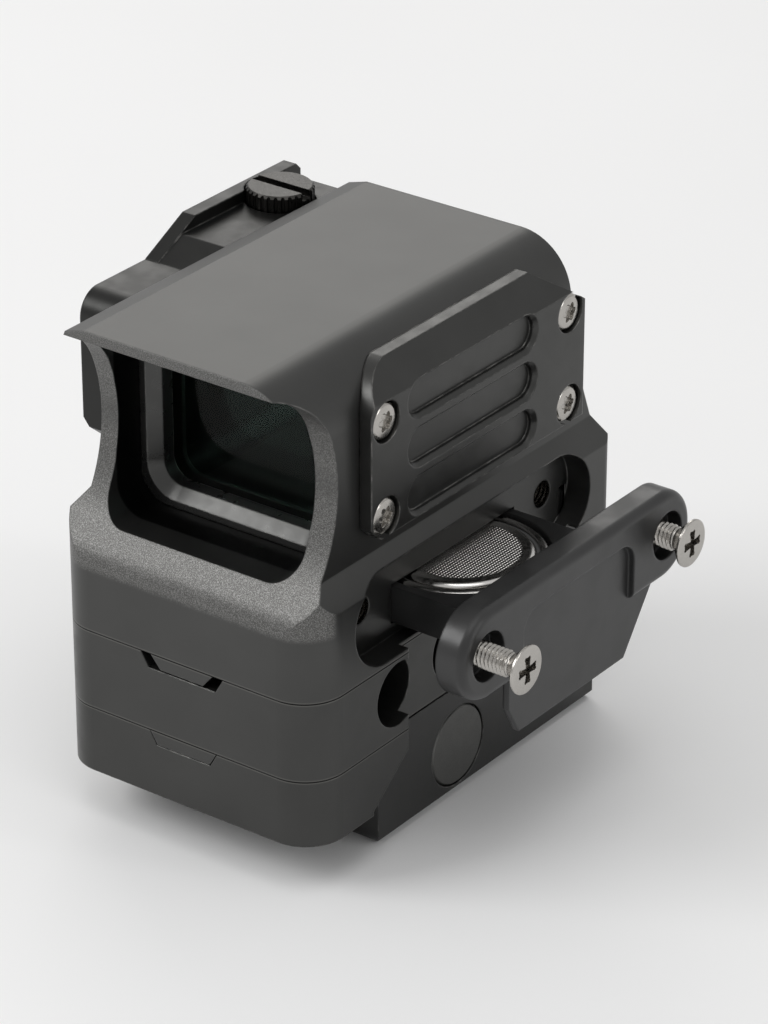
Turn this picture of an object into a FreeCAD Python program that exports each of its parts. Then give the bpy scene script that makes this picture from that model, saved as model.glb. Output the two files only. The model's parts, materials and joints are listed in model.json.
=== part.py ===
import FreeCAD, Part

import math
import os

import Sketcher

# Enclosed reflex sight on a riser, with a clamp for a 21.2 mm cross-slotted rail.
# Frame: +Z up, -Y the way the sight looks (its front window), +X the battery drawer's side.
# Origin: the middle of the flat rail seat, above the cross bolt. Sizes are in millimetres.

doc = FreeCAD.newDocument("reflex_sight")
sheet = doc.addObject("Spreadsheet::Sheet", "Sizes")
sheet_rows = []


class Size:
    """A number that remembers the sheet expression it comes from."""

    def __init__(self, value, text):
        self.value = float(value)
        self.text = text

    def __add__(self, other):
        return Size(self.value + number(other), f"({self.text} + {words(other)})")

    def __radd__(self, other):
        return Size(number(other) + self.value, f"({words(other)} + {self.text})")

    def __sub__(self, other):
        return Size(self.value - number(other), f"({self.text} - {words(other)})")

    def __rsub__(self, other):
        return Size(number(other) - self.value, f"({words(other)} - {self.text})")

    def __mul__(self, other):
        return Size(self.value * number(other), f"({self.text} * {words(other)})")

    __rmul__ = __mul__

    def __truediv__(self, other):
        return Size(self.value / number(other), f"({self.text} / {words(other)})")

    def __neg__(self):
        return Size(-self.value, f"(0 - {self.text})")

    def root(self):
        return Size(math.sqrt(self.value), f"sqrt({self.text})")


def number(size):
    return size.value if isinstance(size, Size) else float(size)


def words(size):
    return size.text if isinstance(size, Size) else f"({float(size):.6f})"


def dim(alias, value, note):
    """One driving dimension: a row of the sheet with its alias, its number and what it is."""
    row = len(sheet_rows) + 1
    sheet_rows.append(alias)
    sheet.set(f"A{row}", alias)
    sheet.set(f"B{row}", str(value))
    sheet.set(f"C{row}", note)
    sheet.setAlias(f"B{row}", alias)
    return Size(value, f"Sizes.{alias}")


def bind(thing, prop, size):
    """Sets a property to a size and keeps it tied to the sheet."""
    if isinstance(size, Size):
        thing.setExpression(prop, size.text)


# ---------------------------------------------------------------- driving dimensions

# The whole stack.
width = dim("width", 35.7, "overall width of housing, riser and base")
front = dim("front", -28.0, "front face of the stack, along Y")
length = dim("length", 55.8, "front face to rear face of the housing")
base_height = dim("base_height", 8.0, "rail seat to the riser seam")
riser_height = dim("riser_height", 9.5, "riser seam to the housing seam")
block_height = dim("block_height", 10.0, "housing seam to the start of the shoulders")
roof_level = dim("roof_level", 53.8, "rail seat to the roof")
corner_round = dim("corner_round", 5.0, "front corner radius of the stack")
side_step = dim("side_step", 1.4, "how far the drawer side is set in behind its step")
step_place = dim("step_place", 16.8, "front face to that step")
rear_setback = dim("rear_setback", 1.0, "how much shorter riser and base are than the housing")
gap = dim("gap", 0.05, "clearance between pieces that fit together")
free_gap = dim("free_gap", 0.2, "clearance round pieces that slide freely")

# The hood and its window.
hood_right = dim("hood_right", 16.2, "middle to the hood's side on the drawer side")
hood_left = dim("hood_left", 15.6, "middle to the hood's side on the adjuster side")
hood_round = dim("hood_round", 6.8, "roof corner radius on the drawer side")
shoulder_rise = dim("shoulder_rise", 3.5, "height of the shoulder slopes")
visor_reach = dim("visor_reach", 0.5, "how far the visor stands past the front face")
roof_length = dim("roof_length", 49.1, "front face to the roof's rear edge")
hollow_depth = dim("hollow_depth", 6.5, "depth of the concave front face")
hollow_level = dim("hollow_level", 41.0, "level of the deepest line of the concave face")
hollow_round = dim("hollow_round", 18.0, "radius of the concave face")
window_half = dim("window_half", 13.2, "half width of the window tunnel")
window_low = dim("window_low", 29.6, "window tunnel floor")
window_high = dim("window_high", 51.5, "window tunnel ceiling")
window_round = dim("window_round", 3.5, "lower corner radius of the window tunnel")
seat_lip = dim("seat_lip", 1.0, "lip that the glasses seat on")
frame_place = dim("frame_place", 10.0, "front face to the front window frame")
frame_depth = dim("frame_depth", 3.0, "thickness of the front window frame")
frame_band = dim("frame_band", 2.2, "width of the window frames")
glass_depth = dim("glass_depth", 3.0, "thickness of the front glass")
rear_glass = dim("rear_glass", 2.4, "thickness of the rear glass")
rear_frame = dim("rear_frame", 1.6, "thickness of the rear window frame")
seal_depth = dim("seal_depth", 0.6, "thickness of the window seals")

# The key tabs at the seams.
key_half = dim("key_half", 3.6, "half width of a key tab at its tip")
key_flare = dim("key_flare", 1.0, "how much wider a key tab is at its root, each side")
key_depth = dim("key_depth", 1.6, "height of a key tab")
key_length = dim("key_length", 6.0, "length of a key tab along Y")
upper_key_play = dim("upper_key_play", 1.1, "side gap of the upper key")

# The battery drawer.
drawer_y = dim("drawer_y", 1.3, "drawer centre along Y")
drawer_z = dim("drawer_z", 23.5, "drawer bezel centre level")
drawer_out = dim("drawer_out", 13.2, "how far the drawer stands open at rest")
recess_floor = dim("recess_floor", 14.7, "drawer recess floor, from the middle")
recess_half = dim("recess_half", 16.5, "drawer recess: middle to the centre of an end round")
bezel_round = dim("bezel_round", 5.25, "end radius of the drawer bezel")
bezel_depth = dim("bezel_depth", 3.5, "thickness of the drawer bezel")
screw_half = dim("screw_half", 17.0, "drawer centre to each drawer screw")
tray_half = dim("tray_half", 11.3, "half width of the tray")
tray_low = dim("tray_low", 19.6, "underside of the tray")
tray_high = dim("tray_high", 24.0, "top of the tray")
tray_reach = dim("tray_reach", 24.0, "bezel to the tray's inner end")
cell_radius = dim("cell_radius", 10.0, "coin cell radius (2032 size)")
cell_height = dim("cell_height", 3.2, "coin cell height (2032 size)")
cell_floor = dim("cell_floor", 1.0, "tray floor under the coin cell")
skirt_drop = dim("skirt_drop", 12.5, "bezel centre to the skirt's lower edge")
drawer_thread = dim("drawer_thread", 1.5, "M3 drawer screw radius")
front_backout = dim("front_backout", 5.0, "how far the front drawer screw stands out")
rear_backout = dim("rear_backout", 3.3, "how far the rear drawer screw stands out")

# The side plate.
plate_front = dim("plate_front", 10.2, "front face to the side plate's front edge")
plate_rear = dim("plate_rear", 49.4, "front face to the side plate's rear edge")
plate_low = dim("plate_low", 33.2, "side plate's lower edge")
plate_high = dim("plate_high", 52.4, "side plate's upper edge")
plate_bend = dim("plate_bend", 49.0, "level of the crease in the side plate")
groove_radius = dim("groove_radius", 2.0, "half width of the side plate grooves")
groove_pitch = dim("groove_pitch", 5.7, "spacing of the side plate grooves")
groove_depth = dim("groove_depth", 0.9, "depth of the side plate grooves")

# The rail clamp. The rail's own sizes are those of the 21.2 mm cross-slotted rail.
rail_half = dim("rail_half", 10.6, "half the rail's widest part")
rail_slope = dim("rail_slope", 2.77, "depth of each 45 degree rail face")
jaw_drop = dim("jaw_drop", 6.0, "rail seat to the lower edge of the jaws")
jaw_inner = dim("jaw_inner", 12.0, "inner face of the moving jaw above the seat")
jaw_place = dim("jaw_place", 13.2, "front face to the jaws' front edge")
bolt_radius = dim("bolt_radius", 2.5, "cross bolt radius")
bolt_level = dim("bolt_level", 0.2, "cross bolt axis level")
disc_radius = dim("disc_radius", 4.85, "knurled disc radius")
disc_depth = dim("disc_depth", 2.4, "knurled disc thickness")
nut_radius = dim("nut_radius", 5.6, "clamp nut radius")
nut_depth = dim("nut_depth", 5.6, "clamp nut thickness")
washer_depth = dim("washer_depth", 0.6, "clamp nut washer thickness")
jaw_travel = dim("jaw_travel", 3.0, "how far the jaw opens")
pin_radius = dim("pin_radius", 1.5, "jaw guide pin radius")

# The adjusters on the left side.
box_outer = dim("box_outer", 24.0, "outer face of the adjuster housing, from the middle")
box_front = dim("box_front", 13.2, "front face to the adjuster housing")
box_rear = dim("box_rear", 50.4, "front face to the adjuster housing's rear")
box_low = dim("box_low", 32.4, "adjuster housing underside")
deck_level = dim("deck_level", 49.8, "front deck of the adjuster housing")
platform_level = dim("platform_level", 51.8, "turret platform of the adjuster housing")
fence_level = dim("fence_level", 53.2, "outer fence of the adjuster housing")
turret_x = dim("turret_x", 19.4, "elevation turret axis, from the middle to the left")
turret_y = dim("turret_y", 15.0, "elevation turret axis along Y")
turret_radius = dim("turret_radius", 3.9, "turret knob radius")
turret_height = dim("turret_height", 3.4, "turret knob height")
spindle_radius = dim("spindle_radius", 1.25, "adjuster spindle radius")

# The housing's faces, holes and electronics bay.
visor_edge = dim("visor_edge", 1.2, "height of the visor's front edge")
visor_round = dim("visor_round", 8.3, "radius under the visor")
bend_rise = dim("bend_rise", 6.5, "deepest line up to where the visor's curve starts")
slope_drop = dim("slope_drop", 10.9, "deepest line down to where the straight slope starts")
lip_round = dim("lip_round", 4.5, "rounding where the slope meets the front face")
roof_crease = dim("roof_crease", 11.8, "middle to the crease on the left of the roof")
roof_left = dim("roof_left", 14.3, "middle to the roof's left edge")
roof_dip = dim("roof_dip", 0.7, "how far the roof's left band falls")
beyond = dim("beyond", 6.0, "how far cutting outlines run past the solid")
thread_wall = dim("thread_wall", 1.6, "radius of a hole that takes an M3 screw")
small_thread = dim("small_thread", 1.3, "radius of a hole that takes an M2.5 screw")
body_screw_x = dim("body_screw_x", 13.2, "riser screws: middle to each screw")
body_screw_y = dim("body_screw_y", 22.2, "riser screws: along Y from the middle")
base_screw_x = dim("base_screw_x", 7.0, "base screws: middle to each screw")
base_screw_y = dim("base_screw_y", 19.3, "base screws: along Y from the middle")
cap_radius = dim("cap_radius", 2.75, "M3 cap screw head radius")
cap_height = dim("cap_height", 3.0, "M3 cap screw head height")
bore_radius = dim("bore_radius", 3.85, "riser side bore radius")
bore_pitch = dim("bore_pitch", 12.0, "riser side bore spacing")
bore_depth = dim("bore_depth", 12.0, "riser side bore depth")
bore_level = dim("bore_level", 5.2, "riser seam to the side bores")
cavity_half = dim("cavity_half", 10.0, "half width of the electronics bay")
cavity_low = dim("cavity_low", 19.5, "floor of the electronics bay")
cavity_high = dim("cavity_high", 27.0, "ceiling of the electronics bay")
cavity_depth = dim("cavity_depth", 14.0, "depth of the electronics bay")
cover_depth = dim("cover_depth", 1.6, "rear cover thickness")
cover_half = dim("cover_half", 12.2, "half width of the rear cover")
cover_low = dim("cover_low", 18.9, "lower edge of the rear cover")
cover_high = dim("cover_high", 27.6, "upper edge of the rear cover")
emitter_low = dim("emitter_low", 33.9, "lower edge of the emitter's opening")
emitter_high = dim("emitter_high", 42.4, "upper edge of the emitter's opening")
emitter_front = dim("emitter_front", 6.4, "front edge of the emitter's opening, along Y")
emitter_rear = dim("emitter_rear", 17.6, "rear edge of the emitter's opening, along Y")
lip_low = dim("lip_low", 5.4, "underside of the base's side lip over the jaw")
lip_foot = dim("lip_foot", 0.5, "lower end of the lip's slanting edge")
lip_slant = dim("lip_slant", 6.3, "run of that slanting edge along Y")
pin_level = dim("pin_level", 3.4, "jaw guide pins' level")
pin_y = dim("pin_y", 10.0, "jaw guide pins, each side of the cross bolt")
pin_depth = dim("pin_depth", 6.0, "depth of the pins in the base")
pin_length = dim("pin_length", 9.4, "length of a jaw guide pin")

# The clamp nut.
coin_slot = dim("coin_slot", 1.6, "width of the nut's coin slot")

# Side plate details.
plate_seal_depth = dim("plate_seal_depth", 0.35, "thickness of the side plate gasket")
groove_bevel = dim("groove_bevel", 0.45, "bevel round each side plate groove")
groove_reach = dim("groove_reach", 9.5, "groove middle to the centre of its end rounds")
head_radius = dim("head_radius", 2.35, "plate screw head counterbore radius")

# The adjuster chamber, knobs and light emitter.
seal_depth_box = dim("seal_depth_box", 0.3, "thickness of the adjuster housing gasket")
box_wall = dim("box_wall", 1.8, "wall of the adjuster housing")
fence_depth = dim("fence_depth", 1.8, "thickness of the outer fence")
chamber_front = dim("chamber_front", 6.0, "front end of the adjuster chamber, along Y")
chamber_rear = dim("chamber_rear", 20.4, "rear end of the adjuster chamber, along Y")
chamber_low = dim("chamber_low", 34.2, "floor of the adjuster chamber")
chamber_high = dim("chamber_high", 45.4, "ceiling of the adjuster chamber")
lift = dim("lift", 0.5, "adjuster travel each way")
guide_half = dim("guide_half", 2.5, "half width of the elevation plunger")
windage_y = dim("windage_y", 17.0, "windage spindle axis along Y")
windage_z = dim("windage_z", 38.4, "windage spindle axis level")
windage_sink = dim("windage_sink", 1.0, "how deep the windage knob is sunk")
flute_radius = dim("flute_radius", 0.22, "radius of one flute of a knurled knob")
knob_slot = dim("knob_slot", 1.3, "width of a knob's coin slot")
lamp_radius = dim("lamp_radius", 1.2, "light emitter radius")

# The brightness buttons.
button_x = dim("button_x", 5.2, "middle to each brightness button")
button_radius = dim("button_radius", 2.6, "brightness button radius")
button_travel = dim("button_travel", 0.7, "brightness button travel")

# The battery contacts.
contact_depth = dim("contact_depth", 0.25, "thickness of the battery contacts")

# Small corner rounds.
tunnel_round = dim("tunnel_round", 1.5, "upper corner radius of the window tunnel")
cover_round = dim("cover_round", 1.0, "corner radius of the rear cover")
inner_round = dim("inner_round", 0.8, "upper corner radius inside the tunnel's lip")

# The drawer's skirt and its screw seats.
skirt_side = dim("skirt_side", 10.0, "drawer centre to the rear side of the skirt's lower edge")
skirt_depth = dim("skirt_depth", 1.55, "how far back the skirt reaches")
dish_depth = dim("dish_depth", 0.8, "depth of the drawer's finger dish, and of the skirt's face")
bezel_edge = dim("bezel_edge", 1.0, "rounding of the bezel's outer edge")
sink_radius = dim("sink_radius", 2.85, "drawer screw head seat radius")
screw_span = dim("screw_span", 10.0, "length of a drawer screw")
screw_head = dim("screw_head", 2.75, "drawer screw head radius")
dish_radius = dim("dish_radius", 2.6, "end radius of the drawer's finger groove")
chip_length = dim("chip_length", 5.0, "side of the control chip")
chip_depth = dim("chip_depth", 1.2, "thickness of the control chip")

front_y = front
rear_y = front + length
rear_low_y = rear_y - rear_setback
half = width / 2
seam_low = base_height
seam_high = base_height + riser_height
shoulder = seam_high + block_height
step_y = front + step_place
inset_half = half - side_step

# ---------------------------------------------------------------- building helpers

PLANES = {"x": "YZ_Plane", "y": "XZ_Plane", "z": "XY_Plane"}
TURNS = {
    "up": FreeCAD.Rotation(),
    "down": FreeCAD.Rotation(FreeCAD.Vector(1, 0, 0), 180),
    "right": FreeCAD.Rotation(FreeCAD.Vector(0, 1, 0), 90),
    "left": FreeCAD.Rotation(FreeCAD.Vector(0, 1, 0), -90),
    "rear": FreeCAD.Rotation(FreeCAD.Vector(1, 0, 0), -90),
    "front": FreeCAD.Rotation(FreeCAD.Vector(1, 0, 0), 90),
}
nodes = {}


def body(label, keep=True):
    """A new PartDesign body. A kept one is a sub-part, written under its label."""
    made = doc.addObject("PartDesign::Body", label)
    made.Label = label
    if keep:
        nodes[label] = made
    return made


def arc_between(a, b, radius):
    """The arc from a to b of that radius, turning left if it is positive and right if not."""
    chord = b - a
    middle = (a + b) / 2
    reach = math.sqrt(max(radius * radius - chord.Length * chord.Length / 4, 0.0))
    side = FreeCAD.Vector(-chord.y, chord.x, 0).normalize()
    centre = middle + side * (reach if radius > 0 else -reach)
    start, end = (a, b) if radius > 0 else (b, a)
    angles = [math.atan2(p.y - centre.y, p.x - centre.x) for p in (start, end)]
    circle = Part.Circle(centre, FreeCAD.Vector(0, 0, 1), abs(radius))
    return Part.ArcOfCircle(circle, angles[0], angles[1])


def hold(sketch, wanted):
    """Adds the constraints, and ties each one that has a size to the sheet."""
    made = [
        Sketcher.Constraint(kind, *where) if size is None else Sketcher.Constraint(kind, *where, number(size))
        for kind, where, size in wanted
    ]
    first = sketch.ConstraintCount
    sketch.addConstraint(made)
    for index, (kind, _, size) in enumerate(wanted, first):
        if isinstance(size, Size):
            name = f"{kind}{index}"
            sketch.renameConstraint(index, name)
            sketch.setExpression(f"Constraints.{name}", size.text)


def draw_outline(sketch, corners):
    """A closed outline of corners (u, v), or (u, v, radius) where an arc leaves the corner."""
    points = [FreeCAD.Vector(number(c[0]), number(c[1]), 0) for c in corners]
    shapes = []
    ends = []
    first = sketch.GeometryCount
    for i, corner in enumerate(corners):
        a, b = points[i], points[(i + 1) % len(points)]
        if len(corner) == 2:
            shapes.append(Part.LineSegment(a, b))
        else:
            shapes.append(arc_between(a, b, number(corner[2])))
        turns_right = len(corner) == 3 and number(corner[2]) < 0
        ends.append((first + i, 2, 1) if turns_right else (first + i, 1, 2))
    sketch.addGeometry(shapes, False)
    wanted = []
    for i, (index, start, end) in enumerate(ends):
        following, following_start, _ = ends[(i + 1) % len(ends)]
        wanted.append(("Coincident", (index, end, following, following_start), None))
        wanted.append(("DistanceX", (-1, 1, index, start), corners[i][0]))
        wanted.append(("DistanceY", (-1, 1, index, start), corners[i][1]))
    for (index, _, _), corner in zip(ends, corners):
        if len(corner) == 3:
            radius = corner[2] if number(corner[2]) > 0 else -corner[2]
            wanted.append(("Radius", (index,), radius))
    hold(sketch, wanted)


def draw_circle(sketch, u, v, radius):
    centre = FreeCAD.Vector(number(u), number(v), 0)
    circle = Part.Circle(centre, FreeCAD.Vector(0, 0, 1), number(radius))
    index = sketch.addGeometry(circle, False)
    wanted = [
        ("DistanceX", (-1, 1, index, 3), u),
        ("DistanceY", (-1, 1, index, 3), v),
        ("Radius", (index,), radius),
    ]
    hold(sketch, wanted)


def draw(sketch, shapes):
    """Draws each shape: a list of corners is an outline, and a tuple is a circle."""
    for shape in shapes:
        if isinstance(shape, tuple):
            draw_circle(sketch, *shape)
        else:
            draw_outline(sketch, shape)


def sketch_at(owner, axis, level, shapes):
    """A sketch square to an axis. Its own axes are the other two, in X, Y, Z order."""
    sketch = owner.newObject("Sketcher::SketchObject", "Sketch")
    planes = owner.Origin.OriginFeatures
    plane = next(p for p in planes if getattr(p, "Role", "") == PLANES[axis])
    sketch.AttachmentSupport = [(plane, "")]
    sketch.MapMode = "FlatFace"
    offset = -level if axis == "y" else level
    sketch.AttachmentOffset.Base.z = number(offset)
    bind(sketch, "AttachmentOffset.Base.z", offset)
    draw(sketch, shapes)
    return sketch


def volume_of(owner):
    doc.recompute()
    return owner.Shape.Volume if not owner.Shape.isNull() else 0.0


def pad(owner, axis, low, high, *shapes):
    """Adds material between two levels along an axis."""
    before = volume_of(owner)
    sketch = sketch_at(owner, axis, high if axis == "y" else low, shapes)
    feature = owner.newObject("PartDesign::Pad", "Pad")
    feature.Profile = sketch
    feature.Length = number(high) - number(low)
    bind(feature, "Length", high - low)
    if volume_of(owner) <= before:
        raise ValueError(f"{owner.Label}: {feature.Name} added nothing")
    return feature


def pocket(owner, axis, low, high, *shapes):
    """Removes material between two levels along an axis."""
    before = volume_of(owner)
    sketch = sketch_at(owner, axis, low if axis == "y" else high, shapes)
    feature = owner.newObject("PartDesign::Pocket", "Pocket")
    feature.Profile = sketch
    feature.Length = number(high) - number(low)
    bind(feature, "Length", high - low)
    if volume_of(owner) >= before:
        raise ValueError(f"{owner.Label}: {feature.Name} removed nothing")
    return feature


def picked_edges(shape, chosen):
    return [f"Edge{i}" for i, edge in enumerate(shape.Edges, 1) if chosen(edge)]


def dress(owner, kind, prop, size, chosen):
    """Rounds or bevels the edges of the body so far that the test picks."""
    doc.recompute()
    tip = owner.Tip
    names = picked_edges(tip.Shape, chosen)
    if not names:
        raise ValueError(f"{owner.Label}: no edge to dress")
    feature = owner.newObject(f"PartDesign::{kind}", kind)
    feature.Base = (tip, names)
    setattr(feature, prop, number(size))
    bind(feature, prop, size)
    doc.recompute()
    if "Invalid" in feature.State or not feature.Shape.isValid():
        raise ValueError(f"{owner.Label}: {feature.Name} failed on {names}")
    return feature


def fillet(owner, radius, chosen):
    return dress(owner, "Fillet", "Radius", radius, chosen)


def chamfer(owner, size, chosen):
    return dress(owner, "Chamfer", "Size", size, chosen)


def near(value, size, slack=0.02):
    return abs(value - number(size)) < slack


def runs_along(edge, axis):
    """Whether an edge is straight and runs along that axis."""
    box = edge.BoundBox
    spans = {"x": box.XLength, "y": box.YLength, "z": box.ZLength}
    return spans[axis] > 0.05 and all(spans[a] < 1e-4 for a in spans if a != axis)


def rect(u0, v0, u1, v1):
    return [(u0, v0), (u1, v0), (u1, v1), (u0, v1)]


def stadium(u, v, reach, radius):
    """A slot along u: end rounds of that radius, whose centres are reach each side of u."""
    return [
        (u - reach, v - radius),
        (u + reach, v - radius, radius),
        (u + reach + radius, v, radius),
        (u + reach, v + radius),
        (u - reach, v + radius, radius),
        (u - reach - radius, v, radius),
    ]


def round_rect(u0, v0, u1, v1, low_round, high_round):
    """A rectangle whose two lower and two upper corners are rounded."""
    return [
        (u0 + low_round, v0),
        (u1 - low_round, v0, low_round),
        (u1, v0 + low_round),
        (u1, v1 - high_round, high_round),
        (u1 - high_round, v1),
        (u0 + high_round, v1, high_round),
        (u0, v1 - high_round),
        (u0, v0 + low_round, low_round),
    ]


def turned(label, profile, x, y, z, facing="up", keep=True):
    """A turned piece: its (radius, height) profile revolved, facing that way from a point."""
    made = body(label, keep)
    sketch = sketch_at(made, "y", Size(0, "0"), [profile])
    feature = made.newObject("PartDesign::Revolution", "Revolution")
    feature.Profile = sketch
    feature.ReferenceAxis = (sketch, ["V_Axis"])
    feature.Angle = 360.0
    place(made, x, y, z, facing)
    doc.recompute()
    return made


def place(made, x, y, z, facing="up"):
    made.Placement = FreeCAD.Placement(
        FreeCAD.Vector(number(x), number(y), number(z)), TURNS[facing]
    )
    for axis, size in (("x", x), ("y", y), ("z", z)):
        bind(made, f"Placement.Base.{axis}", size)


def group(label, members):
    """Identical pieces that share one node, each a solid of its own."""
    made = doc.addObject("Part::Compound", label)
    made.Label = label
    made.Links = members
    nodes[label] = made
    return made


# ---------------------------------------------------------------- housing, riser and base


roof_y = front + roof_length
deep_y = front + hollow_depth
visor_y = front - visor_reach
visor_level = roof_level - visor_edge
hollow_mid_y = deep_y - hollow_round
bend_y = hollow_mid_y + (hollow_round * hollow_round - bend_rise * bend_rise).root()
slope_run = (hollow_round * hollow_round - slope_drop * slope_drop).root()
slope_y = hollow_mid_y + slope_run
slope_level = hollow_level - slope_drop
slope_foot = slope_level - (slope_y - front) * slope_run / slope_drop
lip_run = lip_round * slope_drop / (hollow_round + slope_run)
shoulder_top = shoulder + shoulder_rise
hood_start = hollow_level - 8
frame_front_y = front + frame_place
lens_y = frame_front_y + frame_depth
lens_back_y = lens_y + glass_depth
front_seal_y = lens_back_y
rear_open_y = roof_y - 2.0
rear_frame_y = rear_open_y - rear_frame
rear_glass_y = rear_frame_y - rear_glass
rear_seal_y = rear_glass_y - seal_depth
inner_half = window_half - seat_lip
recess_high = drawer_z + bezel_round + 0.25
recess_low = drawer_z - bezel_round - 0.25
slot_half = tray_half + free_gap
closed_x = recess_floor + 0.1
tray_end_x = closed_x - tray_reach


def key_outline(low, high, tip_half, root_half):
    """The trapezoid of a key tab or its notch, wider at the top."""
    return [(-tip_half, low), (tip_half, low), (root_half, high), (-root_half, high)]


print("main_housing")
housing = body("main_housing")
pad(
    housing,
    "z",
    seam_high,
    hood_start,
    round_rect(-half, front_y, half, rear_y, corner_round, corner_round / 3),
)
pad(housing, "z", hood_start, roof_level, rect(-hood_left, visor_y, hood_right, rear_y))

# The concave front face: visor curve, main curve, then a straight slope to the front face.
hollow = [
    (front_y - beyond, slope_foot - lip_run),
    (front_y, slope_foot - lip_run, -lip_round),
    (front_y + lip_run * slope_drop / hollow_round, slope_foot + lip_run * slope_run / hollow_round),
    (slope_y, slope_level, hollow_round),
    (bend_y, hollow_level + bend_rise, visor_round),
    (visor_y, visor_level),
    (front_y - beyond, visor_level),
]
pocket(housing, "x", -half - beyond, half + beyond, hollow)

# The rear leans forward in three flats, up to the roof's rear edge.
leaning = [
    (rear_y + beyond, shoulder),
    (rear_y, shoulder),
    (rear_y - 2.5, shoulder + 3.7),
    (roof_y + 0.7, roof_level - 13.5),
    (roof_y, roof_level - 5.8),
    (roof_y, roof_level + beyond),
    (rear_y + beyond, roof_level + beyond),
]
pocket(housing, "x", -half - beyond, half + beyond, leaning)
heel = [
    (rear_y + beyond, seam_high - beyond),
    (rear_y + beyond, seam_high + 2.0),
    (rear_y, seam_high + 2.0),
    (rear_y - 1.4, seam_high + 0.5),
    (rear_low_y, seam_high - beyond),
]
pocket(housing, "x", -half - beyond, half + beyond, heel)

# Right shoulder, hood side and round roof corner, then the left shoulder and roof edge.
right_side = [
    (half + beyond, shoulder),
    (half + beyond, roof_level + beyond),
    (hood_right - hood_round, roof_level + beyond),
    (hood_right - hood_round, roof_level, -hood_round),
    (hood_right, roof_level - hood_round),
    (hood_right, shoulder_top),
    (half, shoulder),
]
pocket(housing, "y", front_y - beyond, rear_y + beyond, right_side)
left_side = [
    (-half - beyond, shoulder + 2.0),
    (-half, shoulder + 2.0),
    (-hood_left, shoulder_top + 1.5),
    (-hood_left, roof_level - 3.6),
    (-roof_left, roof_level - roof_dip),
    (-roof_crease, roof_level),
    (-roof_crease, roof_level + beyond),
    (-half - beyond, roof_level + beyond),
]
pocket(housing, "y", front_y - beyond, rear_y + beyond, left_side)

# The window tunnel: open at the front, narrow between the glasses, open at the rear.
wide = round_rect(-window_half, window_low, window_half, window_high, window_round, tunnel_round)
narrow = round_rect(
    -inner_half,
    window_low + seat_lip,
    inner_half,
    window_high - seat_lip,
    window_round - seat_lip,
    inner_round,
)
pocket(housing, "y", front_y - beyond, front_seal_y + seal_depth, wide)
pocket(housing, "y", front_seal_y, rear_glass_y, narrow)
pocket(housing, "y", rear_seal_y, rear_y + beyond, wide)

# The drawer recess, its slot, its two screw holes, and the way out below the recess.
recess_outline = stadium(drawer_y, drawer_z, recess_half, bezel_round + 0.25)
pocket(housing, "x", recess_floor, half + beyond, recess_outline)
pocket(
    housing,
    "x",
    tray_end_x - free_gap,
    half,
    rect(drawer_y - slot_half, tray_low - free_gap, drawer_y + slot_half, tray_high + free_gap),
)
for side in (-1, 1):
    hole = (drawer_y + screw_half * side, drawer_z, thread_wall)
    pocket(housing, "x", recess_floor - 7.0, half, hole)
inset_outline = rect(step_y, seam_high - beyond, rear_y + beyond, drawer_z - 4.5)
pocket(housing, "x", inset_half, half + beyond, inset_outline)

# The electronics bay behind the battery, open at the rear under its cover.
bay = rect(-cavity_half, cavity_low, cavity_half, cavity_high)
pocket(housing, "y", rear_y - cavity_depth, rear_y + beyond, bay)
cover_seat = round_rect(
    -cover_half - gap,
    cover_low - gap,
    cover_half + gap,
    cover_high + gap,
    cover_round,
    cover_round,
)
pocket(housing, "y", rear_y - cover_depth, rear_y + beyond, cover_seat)
for side in (-1, 1):
    pocket(
        housing,
        "y",
        rear_y - 5.0,
        rear_y,
        ((cavity_half + 1.1) * side, (cover_low + cover_high) / 2, small_thread * 0.55),
    )

# The emitter's opening through the left wall, and the screw holes for both side pieces.
pocket(
    housing,
    "x",
    -hood_left - beyond,
    -inner_half + gap,
    rect(emitter_front, emitter_low, emitter_rear, emitter_high),
)
plate_screw_y = [front + 12.8, front + 46.6]
plate_screw_z = [plate_low + 2.3, plate_low + 13.4]
plate_screws = [(y, z) for y in plate_screw_y for z in plate_screw_z]
for y, z in plate_screws:
    pocket(housing, "x", hood_right - 2.0, hood_right + gap, (y, z, small_thread))
box_screws = [(y, z) for y in (front + 17.0, front + 30.6) for z in (box_low + 3.4, deck_level - 3.6)]
for y, z in box_screws:
    pocket(housing, "x", -hood_left - gap, -hood_left + 1.8, (y, z, small_thread))

# Holes for the screws that come up through the riser, and the upper key tab.
body_screw_places = [(x, y) for x in (-body_screw_x, body_screw_x) for y in (-body_screw_y, body_screw_y)]
for x, y in body_screw_places:
    pocket(housing, "z", seam_high - gap, seam_high + 5.5, (x, y, thread_wall))
pad(
    housing,
    "y",
    front_y,
    front_y + key_length,
    key_outline(seam_high - key_depth, seam_high + gap, key_half - 0.7, key_half + 0.7),
)

print("riser_block")
riser = body("riser_block")
pad(
    riser,
    "z",
    seam_low,
    seam_high,
    round_rect(-half, front_y, half, rear_low_y, corner_round, corner_round / 3),
)
pocket(riser, "x", inset_half, half + beyond, rect(step_y, seam_low - beyond, rear_y, seam_high + beyond))
for number_along in range(3):
    y = front + 15.0 + bore_pitch * number_along
    pocket(riser, "x", half - bore_depth, half + beyond, (y, seam_low + bore_level, bore_radius))
pocket(
    riser,
    "y",
    front_y - beyond,
    front_y + key_length + gap,
    key_outline(
        seam_high - key_depth - free_gap,
        seam_high + gap,
        key_half + key_flare,
        key_half + key_flare + upper_key_play,
    ),
)
pad(
    riser,
    "y",
    front_y,
    front_y + key_length,
    key_outline(seam_low - key_depth, seam_low + gap, key_half, key_half + key_flare),
)
for x, y in body_screw_places:
    pocket(riser, "z", seam_low - gap, seam_high + gap, (x, y, thread_wall))
    pocket(riser, "z", seam_low - gap, seam_low + cap_height + free_gap, (x, y, cap_radius + free_gap))
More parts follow.
